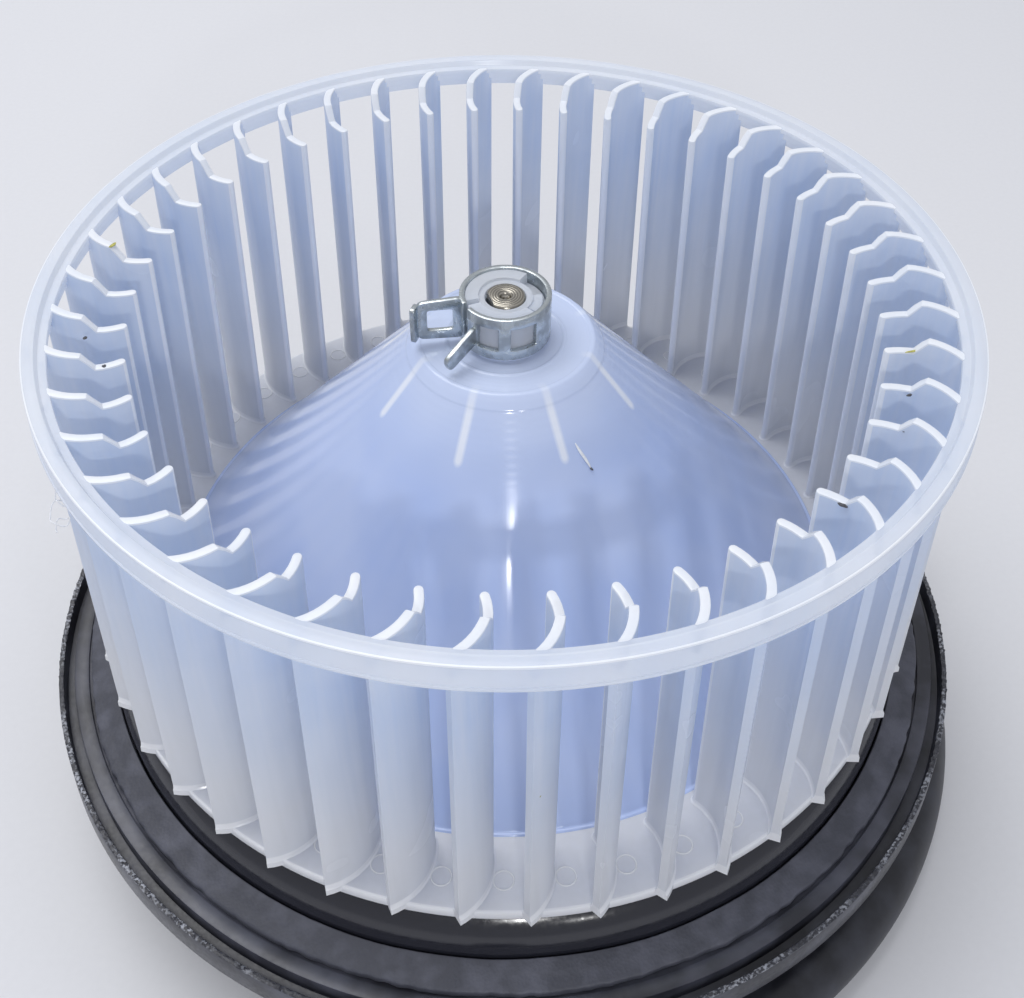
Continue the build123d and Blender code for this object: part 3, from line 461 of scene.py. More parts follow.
def turned_copy(source, angle, name):
    """A copy of a piece turned about the shaft's axis, with the turn in its mesh."""
    mesh = source.data.copy()
    mesh.transform(Matrix.Rotation(radians(angle), 4, "Z"))
    return link(bpy.data.objects.new(name, mesh))


def with_inputs(owner, tree, values):
    """Gives the object a modifier of that tree, with its inputs set by identifier."""
    modifier = owner.modifiers.new(tree.name, "NODES")
    modifier.node_group = tree
    for item in tree.interface.items_tree:
        if item.in_out == "INPUT" and item.name in values:
            modifier[item.identifier] = values[item.name]


def rounded(outline, radius, steps=3):
    """The closed outline with each corner rounded, by less where its edges are short."""
    points = []
    for k, corner in enumerate(outline):
        here = Vector(corner)
        before = Vector(outline[k - 1]) - here
        after = Vector(outline[(k + 1) % len(outline)]) - here
        cut = min(radius, before.length * 0.45, after.length * 0.45)
        start = here + before.normalized() * cut
        end = here + after.normalized() * cut
        for step in range(steps + 1):
            t = step / steps
            points.append(tuple(start * (1 - t) ** 2 + here * 2 * t * (1 - t) + end * t * t))
    return points


def circle(x, y, radius, count, first=0.0, last=360.0):
    """Points of a circle or, with other angles in degrees, of an arc with both ends."""
    steps = count if last - first == 360.0 else count - 1
    return [(x + radius * cos(radians(first + (last - first) * k / steps)),
             y + radius * sin(radians(first + (last - first) * k / steps))) for k in range(count)]


def lathe(bm, outline, segments, slot=0, first=0.0, last=360.0):
    """A ring, or a closed part of one, from a closed outline of (radius, height) points in mm."""
    whole = last - first == 360.0
    spokes = segments if whole else segments + 1
    rings = []
    for k in range(spokes):
        a = radians(first + (last - first) * k / segments)
        rings.append([bm.verts.new((r * cos(a) * MM, r * sin(a) * MM, z * MM)) for r, z in outline])
    for k in range(segments):
        this, following = rings[k], rings[(k + 1) % spokes]
        for j in range(len(outline)):
            n = (j + 1) % len(outline)
            bm.faces.new((this[j], following[j], following[n], this[n])).material_index = slot
    if not whole:
        for ring in (rings[0], rings[-1]):
            bm.faces.new(ring).material_index = slot
    return rings


def plate(name, outline, holes, thickness, edge, finish):
    """A flat plate in the XY plane, in mm, with holes and softened edges, from Z = 0 to its thickness."""
    curve = bpy.data.curves.new(name, "CURVE")
    curve.dimensions = "2D"
    curve.fill_mode = "BOTH"
    curve.extrude = (thickness / 2 - edge) * MM
    curve.bevel_depth = edge * MM
    curve.bevel_resolution = 1
    curve.offset = -edge * MM
    for loop in (outline, *holes):
        spline = curve.splines.new("POLY")
        spline.points.add(len(loop) - 1)
        for point, (x, y) in zip(spline.points, loop):
            point.co = (x * MM, y * MM, 0, 1)
        spline.use_cyclic_u = True
    made = baked(link(bpy.data.objects.new(name, curve)), name)
    made.data.transform(Matrix.Translation((0, 0, thickness / 2 * MM)))
    made.data.materials.clear()
    made.data.materials.append(finish)
    return made


def softened(node, edge):
    """A finished copy of a CAD node: its loose triangles merged and its sharp edges rounded by edge mm."""
    bm = bmesh.new()
    bm.from_mesh(frame["nodes"][node].data)
    bmesh.ops.remove_doubles(bm, verts=bm.verts, dist=2e-6)
    bmesh.ops.dissolve_limit(bm, angle_limit=radians(0.6), verts=bm.verts, edges=bm.edges)
    made = to_object(node + "_finished", bm, [FINISHES[SLOT_OF[node]]])
    soft = made.modifiers.new("edges", "BEVEL")
    soft.width = edge * MM
    soft.segments = 2
    soft.limit_method = "ANGLE"
    soft.angle_limit = radians(40)
    made = baked(made, made.name)
    smooth(made.data)
    return made


# The wheel
def arc_through(a, b, c):
    """Centre and radius of the circle through three points."""
    d = 2 * (a[0] * (b[1] - c[1]) + b[0] * (c[1] - a[1]) + c[0] * (a[1] - b[1]))
    sa, sb, sc = (p[0] ** 2 + p[1] ** 2 for p in (a, b, c))
    x = (sa * (b[1] - c[1]) + sb * (c[1] - a[1]) + sc * (a[1] - b[1])) / d
    y = (sa * (c[0] - b[0]) + sb * (a[0] - c[0]) + sc * (b[0] - a[0])) / d
    return x, y, hypot(a[0] - x, a[1] - y)


def blade_top(r):
    """Height of a blade's top edge: its inner part is stepped down."""
    t = min(max((r - STEP_R) / STEP_W, 0.0), 1.0)
    return BLADE_TOP_Z - STEP_DROP * (1 - t * t * (3 - 2 * t))


def blade_outline(thickness):
    """A blade's plan at azimuth 0: two arcs and a round inner tip, as (x, y) points."""
    depth = WHEEL_R - RIM_W + 0.3 - BLADE_TIP_R
    tip = BLADE_TIP_R
    x, y, radius = arc_through((tip, 0), (tip + depth * 0.43, BLADE_BELLY), (tip + depth, -BLADE_SWEEP))
    first = degrees(atan2(-y, tip + 0.7 - x))
    last = degrees(atan2(-BLADE_SWEEP - y, tip + depth - x)) - 9
    half = thickness / 2
    turns = [first + (last - first) * k / 14 for k in range(15)]
    outer = [(x + (radius + half) * cos(radians(a)), y + (radius + half) * sin(radians(a))) for a in turns]
    inner = [(x + (radius - half) * cos(radians(a)), y + (radius - half) * sin(radians(a))) for a in turns]
    nose_x, nose_y = (outer[0][0] + inner[0][0]) / 2, (outer[0][1] + inner[0][1]) / 2
    nose = circle(nose_x, nose_y, half, 7, first, first + 180)[1:-1]
    return outer[::-1] + nose + inner, len(outer)


def blade_mesh():
    """One curved blade as a closed mesh, leaning out to its foot, with a small fillet on the disc."""
    foot_z = DISC_Z - 1.2
    lift = BLADE_TOP_Z - foot_z
    bm = bmesh.new()
    rows = []
    for level, extra in ((0.0, 0.9), (1.25, 0.8), (1.5, 0.3), (2.2, 0.0), (lift / 2, 0.0), (None, 0.0)):
        outline, sides = blade_outline(BLADE_T + extra)
        row = []
        for x, y in outline:
            z = blade_top(hypot(x, y)) if level is None else foot_z + level
            lean = BLADE_LEAN * (1 - (z - foot_z) / lift)
            row.append(bm.verts.new(((x + lean) * MM, y * MM, z * MM)))
        rows.append(row)
    count = len(rows[0])
    nose = range(sides, count - sides)
    for k, (low, high) in enumerate(zip(rows, rows[1:])):
        for j in range(count):
            face = bm.faces.new((low[j], low[(j + 1) % count], high[(j + 1) % count], high[j]))
            # Painted highlight: the foot fillet and the nose take the near-white edge finish, as do the top
            # and its bevel
            face.material_index = EDGE if k < 3 or j in nose or j + 1 in nose else BLADE
    for row, finish in ((rows[0], BLADE), (rows[-1], EDGE)):
        for j in range(sides - 1):
            quad = (row[j], row[j + 1], row[count - 2 - j], row[count - 1 - j])
            bm.faces.new(quad).material_index = finish
        bm.faces.new(row[sides - 1:count - sides + 1]).material_index = finish
    bmesh.ops.recalc_face_normals(bm, faces=bm.faces)
    top = set(rows[-1])
    corners = [e for e in bm.edges if set(e.verts) <= top and e.calc_face_angle(0) > 1.0]
    bmesh.ops.bevel(bm, geom=corners, offset=0.3 * MM, segments=2, affect="EDGES", profile=0.6, material=EDGE)
    return bm


def base_mesh():
    """Base disc, cone, hub sleeve and boss as one ring, with fine ridges round the hub."""
    inner_foot = PLATEAU_R + (PLATEAU_Z - CONE_T - WHEEL_Z) / CONE_SLOPE
    ceiling = PLATEAU_Z - CONE_T * 0.8
    inner_top = PLATEAU_R - CONE_T * 0.2 / CONE_SLOPE
    floor_z = BOSS_Z - 1.7
    outline = [
        (BORE_R, floor_z), (BOSS_R, floor_z), (BOSS_R, PLATEAU_Z),
        (9.4, PLATEAU_Z), (9.6, PLATEAU_Z + 0.15), (10.0, PLATEAU_Z + 0.15), (10.2, PLATEAU_Z),
        (PLATEAU_R - 0.9, PLATEAU_Z), (PLATEAU_R - 0.7, PLATEAU_Z + 0.12), (PLATEAU_R, PLATEAU_Z + 0.12),
        (PLATEAU_R + 1.6, PLATEAU_Z - 1.6 * CONE_SLOPE + 0.12),
        (PLATEAU_R + 1.75, PLATEAU_Z - 1.75 * CONE_SLOPE),
        (CONE_FOOT_R - 0.9, DISC_Z + 0.9 * CONE_SLOPE), (CONE_FOOT_R - 0.3, DISC_Z + 0.25),
        (CONE_FOOT_R + 0.2, DISC_Z + 0.25), (CONE_FOOT_R + 0.4, DISC_Z),
        (WHEEL_R, DISC_Z), (WHEEL_R, WHEEL_Z), (inner_foot, WHEEL_Z),
        (inner_top, ceiling), (BOSS_R, ceiling), (BOSS_R, SLEEVE_Z), (BORE_R, SLEEVE_Z),
    ]
    bm = bmesh.new()
    lathe(bm, rounded(outline, 0.45, 2), WHEEL_SEGMENTS, CONE)
    bm.faces.ensure_lookup_table()
    for face in bm.faces:
        middle = face.calc_center_median() / MM
        reach = hypot(middle.x, middle.y)
        if reach > WHEEL_R - 0.5:
            # Painted highlight: the disc's outer lip takes the near-white edge finish
            face.material_index = EDGE
        elif reach > CONE_FOOT_R + 0.4 and middle.z > DISC_Z - 0.4:
            face.material_index = BLADE
        elif reach < BOSS_R + 0.2 and middle.z > PLATEAU_Z + 0.4:
            face.material_index = RIM
    return bm


def make_hub_top():
    """The boss's top: a ring round the shaft and sectors that stand at different heights."""
    bm = bmesh.new()
    floor_z = BOSS_Z - 2.0
    for r0, r1, top, first, last in (
            (BORE_R, 4.5, BOSS_Z - 0.5, 0.0, 360.0),
            (4.3, BOSS_R, BOSS_Z, 58.0, 196.0),
            (4.3, BOSS_R, BOSS_Z - 0.35, 204.0, 318.0),
            (4.3, BOSS_R - 0.5, BOSS_Z - 0.9, 326.0, 372.0)):
        outline = rounded([(r0, floor_z), (r1, floor_z), (r1, top), (r0, top)], 0.25, 2)
        lathe(bm, outline, max(16, int((last - first) / 5)), 0, first, last)
    return to_object("hub_top", bm, [RIM_PLASTIC])


def rim_mesh():
    """Rim with its lip and the small ledges on its inner side."""
    r, z = WHEEL_R, RIM_Z
    inner = r - RIM_W
    outline = [
        (r, z), (r, z - RIM_H + 0.7), (r + RIM_LIP, z - RIM_H + 0.7), (r + RIM_LIP, z - RIM_H),
        (inner + 1.0, z - RIM_H), (inner + 1.0, z - RIM_H + 1.4), (inner + 0.5, z - RIM_H + 1.4),
        (inner + 0.5, z - RIM_H + 2.7), (inner, z - RIM_H + 2.7), (inner, z - 1.1),
        (inner + 1.3, z - 1.1), (inner + 1.6, z),
    ]
    bm = bmesh.new()
    lathe(bm, rounded(outline, 0.3, 2), WHEEL_SEGMENTS, RIM)
    for face in bm.faces:
        middle = face.calc_center_median() / MM
        if hypot(middle.x, middle.y) > r - 0.5 and middle.z > z - 0.4:
            # Painted highlight: the rim's top outer edge takes the near-white edge finish
            face.material_index = EDGE
    # The nub where the plastic was let into the mould
    nub = bmesh.ops.create_icosphere(bm, subdivisions=2, radius=1.0)["verts"]
    shape = (Matrix.Rotation(radians(190.6), 4, "Z") @ Matrix.Translation((74.95 * MM, 0, 106.6 * MM))
             @ Matrix.Diagonal((0.45 * MM, 0.7 * MM, 1.3 * MM, 1)))
    bmesh.ops.transform(bm, matrix=shape, verts=nub)
    for vert in nub:
        for face in vert.link_faces:
            face.material_index = RIM
    return bm


def ring_of_blades():
    """Node tree: copies of one blade round the axis, fused with the rim and the base."""
    tree = bpy.data.node_groups.new("ring_of_blades", "GeometryNodeTree")
    face = tree.interface
    face.new_socket("Base", in_out="INPUT", socket_type="NodeSocketGeometry")
    for name, kind in (("Rim", "NodeSocketObject"), ("Blade", "NodeSocketObject"), ("Count", "NodeSocketInt"),
                       ("First angle", "NodeSocketFloat"), ("Cone finish", "NodeSocketMaterial"),
                       ("Blade finish", "NodeSocketMaterial"), ("Edge finish", "NodeSocketMaterial"),
                       ("Rim finish", "NodeSocketMaterial")):
        face.new_socket(name, in_out="INPUT", socket_type=kind)
    face.new_socket("Wheel", in_out="OUTPUT", socket_type="NodeSocketGeometry")
    given = add(tree, "NodeGroupInput").outputs
    line = add(tree, "GeometryNodeMeshLine", {"Count": given["Count"], "Offset": (0, 0, 0)})
    pitch = add(tree, "ShaderNodeMath", {0: TURN, 1: given["Count"]}, operation="DIVIDE")
    number = add(tree, "GeometryNodeInputIndex")
    angle = add(tree, "ShaderNodeMath", {
        0: number, 1: pitch, 2: given["First angle"]}, operation="MULTIPLY_ADD")
    turn = add(tree, "ShaderNodeCombineXYZ", {2: angle})
    spin = add(tree, "FunctionNodeEulerToRotation", {0: turn})
    blade = add(tree, "GeometryNodeObjectInfo", {"Object": given["Blade"]}).outputs["Geometry"]
    ring = add(tree, "GeometryNodeInstanceOnPoints", {"Points": line, "Instance": blade, "Rotation": spin})
    rim = add(tree, "GeometryNodeObjectInfo", {"Object": given["Rim"]}).outputs["Geometry"]
    fused = add(tree, "GeometryNodeMeshBoolean", operation="UNION", solver="MANIFOLD")
    for part in (given["Base"], rim, ring.outputs[0]):
        tree.links.new(part, fused.inputs["Mesh 2"])
    whole = add(tree, "GeometryNodeRealizeInstances", {0: fused})
    for name in ("Cone finish", "Blade finish", "Edge finish", "Rim finish"):
        chosen = add(tree, "GeometryNodeMaterialSelection", {"Material": given[name]})
        whole = add(tree, "GeometryNodeSetMaterial",
                    {"Geometry": whole, "Selection": chosen, "Material": given[name]})
    add(tree, "NodeGroupOutput", {0: whole})
    return tree


def make_wheel():
    sources = {}
    for name, bm in (("Base", base_mesh()), ("Rim", rim_mesh()), ("Blade", blade_mesh())):
        sources[name] = to_object("wheel_" + name, bm, WHEEL_FINISHES)
    base = sources.pop("Base")
    with_inputs(base, ring_of_blades(), {
        **sources, "Count": BLADES, "First angle": radians(BLADE_PHASE), "Cone finish": CONE_PLASTIC,
        "Blade finish": BLADE_PLASTIC, "Edge finish": EDGE_HIGHLIGHT_PLASTIC, "Rim finish": RIM_PLASTIC})
    wheel = baked(base, "wheel")
    for source in sources.values():
        bpy.data.objects.remove(source)
    smooth(wheel.data)
    return wheel


def ring_of_marks():
    """Node tree: small raised rings on a circle, one in each gap between two blades."""
    tree = bpy.data.node_groups.new("ring_of_marks", "GeometryNodeTree")
    face = tree.interface
    face.new_socket("Start", in_out="INPUT", socket_type="NodeSocketGeometry")
    for name, kind in (("Count", "NodeSocketInt"), ("Circle radius", "NodeSocketFloat"),
                       ("Height", "NodeSocketFloat"), ("First angle", "NodeSocketFloat"),
                       ("Mark radius", "NodeSocketFloat"), ("Wire radius", "NodeSocketFloat"),
                       ("Finish", "NodeSocketMaterial")):
        face.new_socket(name, in_out="INPUT", socket_type=kind)
    face.new_socket("Marks", in_out="OUTPUT", socket_type="NodeSocketGeometry")
    given = add(tree, "NodeGroupInput").outputs
    line = add(tree, "GeometryNodeMeshLine", {"Count": given["Count"], "Offset": (0, 0, 0)})
    pitch = add(tree, "ShaderNodeMath", {0: TURN, 1: given["Count"]}, operation="DIVIDE")
    number = add(tree, "GeometryNodeInputIndex")
    angle = add(tree, "ShaderNodeMath", {
        0: number, 1: pitch, 2: given["First angle"]}, operation="MULTIPLY_ADD")
    turn = add(tree, "ShaderNodeCombineXYZ", {2: angle})
    start = add(tree, "ShaderNodeCombineXYZ", {0: given["Circle radius"], 2: given["Height"]})
    spot = add(tree, "ShaderNodeVectorRotate", {"Vector": start, "Rotation": turn}, rotation_type="EULER_XYZ")
    placed = add(tree, "GeometryNodeSetPosition", {"Geometry": line, "Position": spot})
    loop = add(tree, "GeometryNodeCurvePrimitiveCircle", {"Resolution": 28, "Radius": given["Mark radius"]})
    wire = add(tree, "GeometryNodeCurvePrimitiveCircle", {"Resolution": 8, "Radius": given["Wire radius"]})
    mark = add(tree, "GeometryNodeCurveToMesh", {"Curve": loop, "Profile Curve": wire})
    copies = add(tree, "GeometryNodeInstanceOnPoints", {"Points": placed, "Instance": mark})
    whole = add(tree, "GeometryNodeRealizeInstances", {0: copies})
    coated = add(tree, "GeometryNodeSetMaterial", {"Geometry": whole, "Material": given["Finish"]})
    add(tree, "NodeGroupOutput", {0: coated})
    return tree


def make_marks():
    start = link(bpy.data.objects.new("marks_start", bpy.data.meshes.new("marks_start")))
    with_inputs(start, ring_of_marks(), {
        "Count": BLADES, "Circle radius": MARK_RING_R * MM, "Height": (DISC_Z + 0.02) * MM,
        "First angle": radians(MARK_PHASE), "Mark radius": MARK_R * MM, "Wire radius": 0.15 * MM,
        # The raised pin marks take the painted edge highlight finish too
        "Finish": EDGE_HIGHLIGHT_PLASTIC})
    marks = baked(start, "pin_marks")
    marks.data.shade_smooth()
    return marks


def make_lint():
    """A loose fibre that hangs in loops from the rim's lower edge."""
    curve = bpy.data.curves.new("lint", "CURVE")
    curve.dimensions = "3D"
    curve.bevel_depth = 0.09 * MM
    curve.bevel_resolution = 1
    curve.use_fill_caps = True
    spline = curve.splines.new("NURBS")
    count = 34
    spline.points.add(count - 1)
    for k, point in enumerate(spline.points):
        t = k / (count - 1)
        centre = Vector((-62.0 + 1.1 * t, -41.4 - 6.2 * t, 105.4 - 2.2 * t))
        loop = (0.5 + 1.25 * sin(pi * t) ** 2) * (1.25 if t > 0.6 else 0.85)
        a = TURN * 2.6 * t + 0.6
        spot = centre + Vector((loop * cos(a), loop * sin(a), 0.55 * sin(3.1 * a)))
        point.co = (*(spot * MM), 1)
    spline.order_u = 4
    spline.use_endpoint_u = True
    made = baked(link(bpy.data.objects.new("lint", curve)), "lint")
    made.data.materials.clear()
    made.data.materials.append(LINT)
    return made


def make_crumbs():
    """Bits of dirt on the wheel: place in mm, length, width, direction in degrees, and finish."""
    bm = bmesh.new()
    for x, y, z, length, width, turn, slot in (
            (-65.3, 11.2, 108.9, 1.6, 0.7, 60, 0), (63.8, -11.1, 106.6, 3.4, 0.4, 15, 0),
            (5.7, -73.4, 78.3, 0.5, 0.3, 90, 0), (47.1, -44.1, 106.4, 1.5, 0.6, 150, 1),
            (60.9, -21.2, 106.4, 0.9, 0.5, 20, 1), (58.7, -28.8, 106.4, 1.2, 0.6, 60, 1),
            (-61.1, -16.5, 106.4, 0.7, 0.6, 10, 1), (-65.0, -11.2, 107.5, 0.8, 0.6, 70, 1),
            (14.1, -20.0, 88.8, 0.9, 0.35, 305, 1)):
        lump = bmesh.ops.create_icosphere(bm, subdivisions=2, radius=1.0)["verts"]
        for vert in lump:
            vert.co *= 1 + 0.35 * noise.noise(vert.co * 1.7 + Vector((x, y, z)))
            for face in vert.link_faces:
                face.material_index = slot
        shape = (Matrix.Translation((x * MM, y * MM, z * MM)) @ Matrix.Rotation(radians(turn), 4, "Z")
                 @ Matrix.Diagonal((length / 2 * MM, width / 2 * MM, 0.16 * MM, 1)))
        bmesh.ops.transform(bm, matrix=shape, verts=lump)
    return to_object("crumbs", bm, [DRIED_RESIN, GRIT])


def make_splinter():
    """A pale splinter of plastic that lies on the cone."""
    bm = bmesh.new()
    lump = bmesh.ops.create_icosphere(bm, subdivisions=3, radius=1.0)["verts"]
    near, far = Vector((11.4, -17.8, 92.5)), Vector((14.0, -20.0, 88.9))
    along = far - near
    for vert in lump:
        vert.co.y += 0.3 * sin(2.5 * vert.co.x)
    shape = (Matrix.Translation((near + far) / 2 * MM) @ along.to_track_quat("X", "Z").to_matrix().to_4x4()
             @ Matrix.Diagonal((along.length / 2 * MM, 0.28 * MM, 0.16 * MM, 1)))
    bmesh.ops.transform(bm, matrix=shape, verts=lump)
    return to_object("splinter", bm, [LINT])


# The spring band
def make_clamp():
    """Spring band clamp: rolled strip with windows, a wide ear with a window and a drooping tongue."""
    foot = BAND_TOP - BAND_H
    mid = BOSS_R + 0.03 + BAND_T / 2
    bm = bmesh.new()
    inset = 1.9
    levels = [foot, foot + inset, BAND_TOP - inset, BAND_TOP]
    stops = [BAND_FIRST, *(edge for window in BAND_WINDOWS for edge in window), BAND_LAST]
    for number, (first, last) in enumerate(zip(stops, stops[1:])):
        count = int((last - first) / 4) + 1
        for k in range(count):
            a0, a1 = (radians(first + (last - first) * (k + j) / count) for j in (0, 1))
            for j, (z0, z1) in enumerate(zip(levels, levels[1:])):
                if number % 2 and j == 1:
                    continue
                corners = [bm.verts.new((mid * cos(a) * MM, mid * sin(a) * MM, z * MM))
                           for a, z in ((a0, z0), (a1, z0), (a1, z1), (a0, z1))]
                bm.faces.new(corners)
    band = to_object("band", bm, [ZINC])
    wall = band.modifiers.new("wall", "SOLIDIFY")
    wall.thickness, wall.offset = BAND_T * MM, 0.0
    soft = band.modifiers.new("edges", "BEVEL")
    soft.width, soft.segments, soft.angle_limit = 0.2 * MM, 2, radians(50)
    band = baked(band, "band")
    root = mid - 0.3
    reach = root + EAR_L + 0.6
    ear_shape = rounded([(root, 0.0), (reach, 0.4), (reach, BAND_H - 0.4), (root, BAND_H)], 1.3, 4)
    ear_window = rounded([(root + 1.9, 1.9), (reach - 1.7, 2.0), (reach - 1.7, BAND_H - 2.0),
                          (root + 1.9, BAND_H - 2.1)], 0.5, 3)
    wide = plate("wide_ear", ear_shape, [ear_window], BAND_T, 0.2, ZINC)
    lip = plate("lip", rounded([(0, 0.7), (2.3, 0.7), (2.3, BAND_H - 0.7), (0, BAND_H - 0.7)], 0.6, 3),
                [], BAND_T, 0.2, ZINC)
    tongue = plate("tongue", rounded([(root, 2.4), (reach, 2.6), (reach, BAND_H - 2.6), (root, BAND_H - 2.4)],
                                     1.2, 4), [], BAND_T, 0.2, ZINC)
    stand = Matrix.Rotation(radians(90), 4, "X")
    centred = Matrix.Translation((0, BAND_T / 2 * MM, foot * MM))
    wide.data.transform(Matrix.Rotation(radians(WIDE_EAR_DEG), 4, "Z") @ centred @ stand)
    lip.data.transform(Matrix.Rotation(radians(WIDE_EAR_DEG), 4, "Z")
                       @ Matrix.Translation(((reach - 0.6) * MM, -0.2 * MM, foot * MM))
                       @ Matrix.Rotation(radians(62), 4, "Z") @ stand)
    hinge = Vector((root * MM, 0, (foot + BAND_H / 2) * MM))
    droop = (Matrix.Translation(hinge) @ Matrix.Rotation(radians(TONGUE_DROOP), 4, "Y")
             @ Matrix.Translation(-hinge))
    tongue.data.transform(Matrix.Rotation(radians(TONGUE_DEG), 4, "Z") @ droop @ centred @ stand)
    return joined("clamp", [band, wide, lip, tongue])


# The fixed pieces
def make_housing():
    """The black moulding: cup, deck, rolled collar, flat face, groove, thin edge, flange and ears."""
    inner = 10.5
    shoulder = rounded([(inner, CUP_Z), (CUP_R, CUP_Z), (CUP_R, DECK_Z)], 1.2)[4:8]
    roll = circle(COLLAR_R - ROLL, ROLL_Z, ROLL, 21, 90, 0)
    steps = rounded([
        (COLLAR_R, ROLL_Z), (COLLAR_R, FACE_Z - SEAL_SEAT), (SEAL_R, FACE_Z - SEAL_SEAT), (SEAL_R, FACE_Z),
        (GROOVE_R, FACE_Z), (GROOVE_R, FACE_Z - GROOVE_D),
        (GROOVE_R + GROOVE_W, FACE_Z - GROOVE_D), (GROOVE_R + GROOVE_W, FACE_Z - EDGE_DROP),
        (EDGE_R, FACE_Z - EDGE_DROP), (FLANGE_R, FLANGE_Z), (GROOVE_R - SKIN, FLANGE_Z),
        (GROOVE_R - SKIN, FACE_Z - SKIN), (COLLAR_R - SKIN, FACE_Z - SKIN), (COLLAR_R - SKIN, ROLL_Z - 1),
        (COLLAR_R - ROLL - 1, DECK_Z - SKIN), (COVER_R, DECK_Z - SKIN), (COVER_R, JOINT_Z),
        (CUP_R - SKIN, JOINT_Z), (CUP_R - SKIN, CUP_Z - SKIN), (inner, CUP_Z - SKIN),
    ], 0.3, 2)[3:-3]
    outline = [(inner, CUP_Z), *shoulder, (CUP_R, DECK_Z), *roll, *steps, (inner, CUP_Z - SKIN)]
    bm = bmesh.new()
    lathe(bm, outline, 288)
    parts = [to_object("shell", bm, [BLACK])]
    ear_end = circle(EAR_PCD_R, 0, EAR_R, 25, -90, 90)
    ear = plate("ear", [(EDGE_R - 0.6, -EAR_R), *ear_end, (EDGE_R - 0.6, EAR_R)],
                [circle(EAR_PCD_R, 0, EAR_HOLE_R, 32)], EAR_T, 0.35, BLACK)
    ear.data.transform(Matrix.Translation((0, 0, FLANGE_Z * MM)))
    boss_top = DECK_Z - SKIN + 0.5
    bm = bmesh.new()
    lathe(bm, rounded([(1.4, boss_top), (3.4, boss_top), (3.4, JOINT_Z), (1.4, JOINT_Z)], 0.2, 2), 40)
    boss = to_object("boss", bm, [BLACK])
    boss.data.transform(Matrix.Translation((COVER_SCREW_R * MM, 0, 0)))
    for k in range(EARS):
        parts.append(turned_copy(ear, EAR_PHASE + 360 * k / EARS, "ear_copy"))
        parts.append(turned_copy(boss, 90 + 360 * k / EARS, "boss_copy"))
    for source in (ear, boss):
        bpy.data.objects.remove(source)
    return joined("housing", parts)


def make_seal():
    """Die-cut foam ring, pressed wavy, with a ragged outer edge."""
    bm = bmesh.new()
    segments = 720
    inner = COLLAR_R + 0.3
    outer = SEAL_R - 0.3
    foot = FACE_Z - SEAL_SEAT
    outline = rounded([(inner, foot), (outer, foot), (outer, FACE_Z + 1.4), (outer - 2.2, FACE_Z + 1.9),
                       (inner, FACE_Z + 3.2)], 0.45, 3)
    rings = lathe(bm, outline, segments)
    for k, ring in enumerate(rings):
        a = TURN * k / segments
        wide = noise.noise(Vector((6 * cos(a), 6 * sin(a), 1.7)))
        small = noise.noise(Vector((38 * cos(a), 38 * sin(a), 5.1)))
        for vert, (r, z) in zip(ring, outline):
            share = max(0.0, (r - inner) / (outer - inner) - 0.6) / 0.4
            grow = 1 - max(0.0, 0.45 * wide + 0.4 * small + 0.15) * share / r
            vert.co.x *= grow
            vert.co.y *= grow
            if z > FACE_Z + 0.5:
                vert.co.z -= max(0.0, 0.35 * wide + 0.12 * small + 0.12) * MM
    return to_object("seal", bm, [FOAM])


def make_flash():
    """The torn skin of moulding flash on the thin edge round the groove."""
    bm = bmesh.new()
    segments = 1200
    top = FACE_Z - EDGE_DROP
    mid = (GROOVE_R + GROOVE_W + EDGE_R) / 2
    outline = [(mid - 0.48, top - 0.15), (mid - 0.42, top + 0.1), (mid, top + 0.22), (mid + 0.42, top + 0.1),
               (mid + 0.48, top - 0.15)]
    for k, ring in enumerate(lathe(bm, outline, segments)):
        a = TURN * k / segments
        rough = noise.noise(Vector((60 * cos(a), 60 * sin(a), 0.3)))
        fine = noise.noise(Vector((230 * cos(a), 230 * sin(a), 2.3)))
        for vert, (r, z) in zip(ring, outline):
            if z > top:
                vert.co.z += (rough * 0.2 + fine * 0.25) * MM
                vert.co.x *= 1 + fine * 0.2 / r
                vert.co.y *= 1 + fine * 0.2 / r
    return to_object("edge_flash", bm, [FLASH])


def tube_centre_line():
    """Points of the cooling tube's centre line: out of the cover, round a bend, then round the motor."""
    swing = radians(TUBE_START_DEG - TUBE_JOIN_DEG)
    bend = TUBE_PATH_R * sin(swing) / (1 + sin(swing))
    reach = (TUBE_PATH_R - bend) * cos(swing)
    out = Vector((cos(radians(TUBE_START_DEG)), sin(radians(TUBE_START_DEG))))
    centre = out * reach + Vector((out.y, -out.x)) * bend
    points = [out * (COVER_R + 1.2 + (reach - COVER_R - 1.2) * k / 3) for k in range(3)]
    points += [Vector(p) for p in circle(centre.x, centre.y, bend, 25, TUBE_START_DEG + 90, TUBE_JOIN_DEG)]
    points += [Vector(p) for p in circle(0, 0, TUBE_PATH_R, 37, TUBE_JOIN_DEG, TUBE_END_DEG)[1:]]
    return points


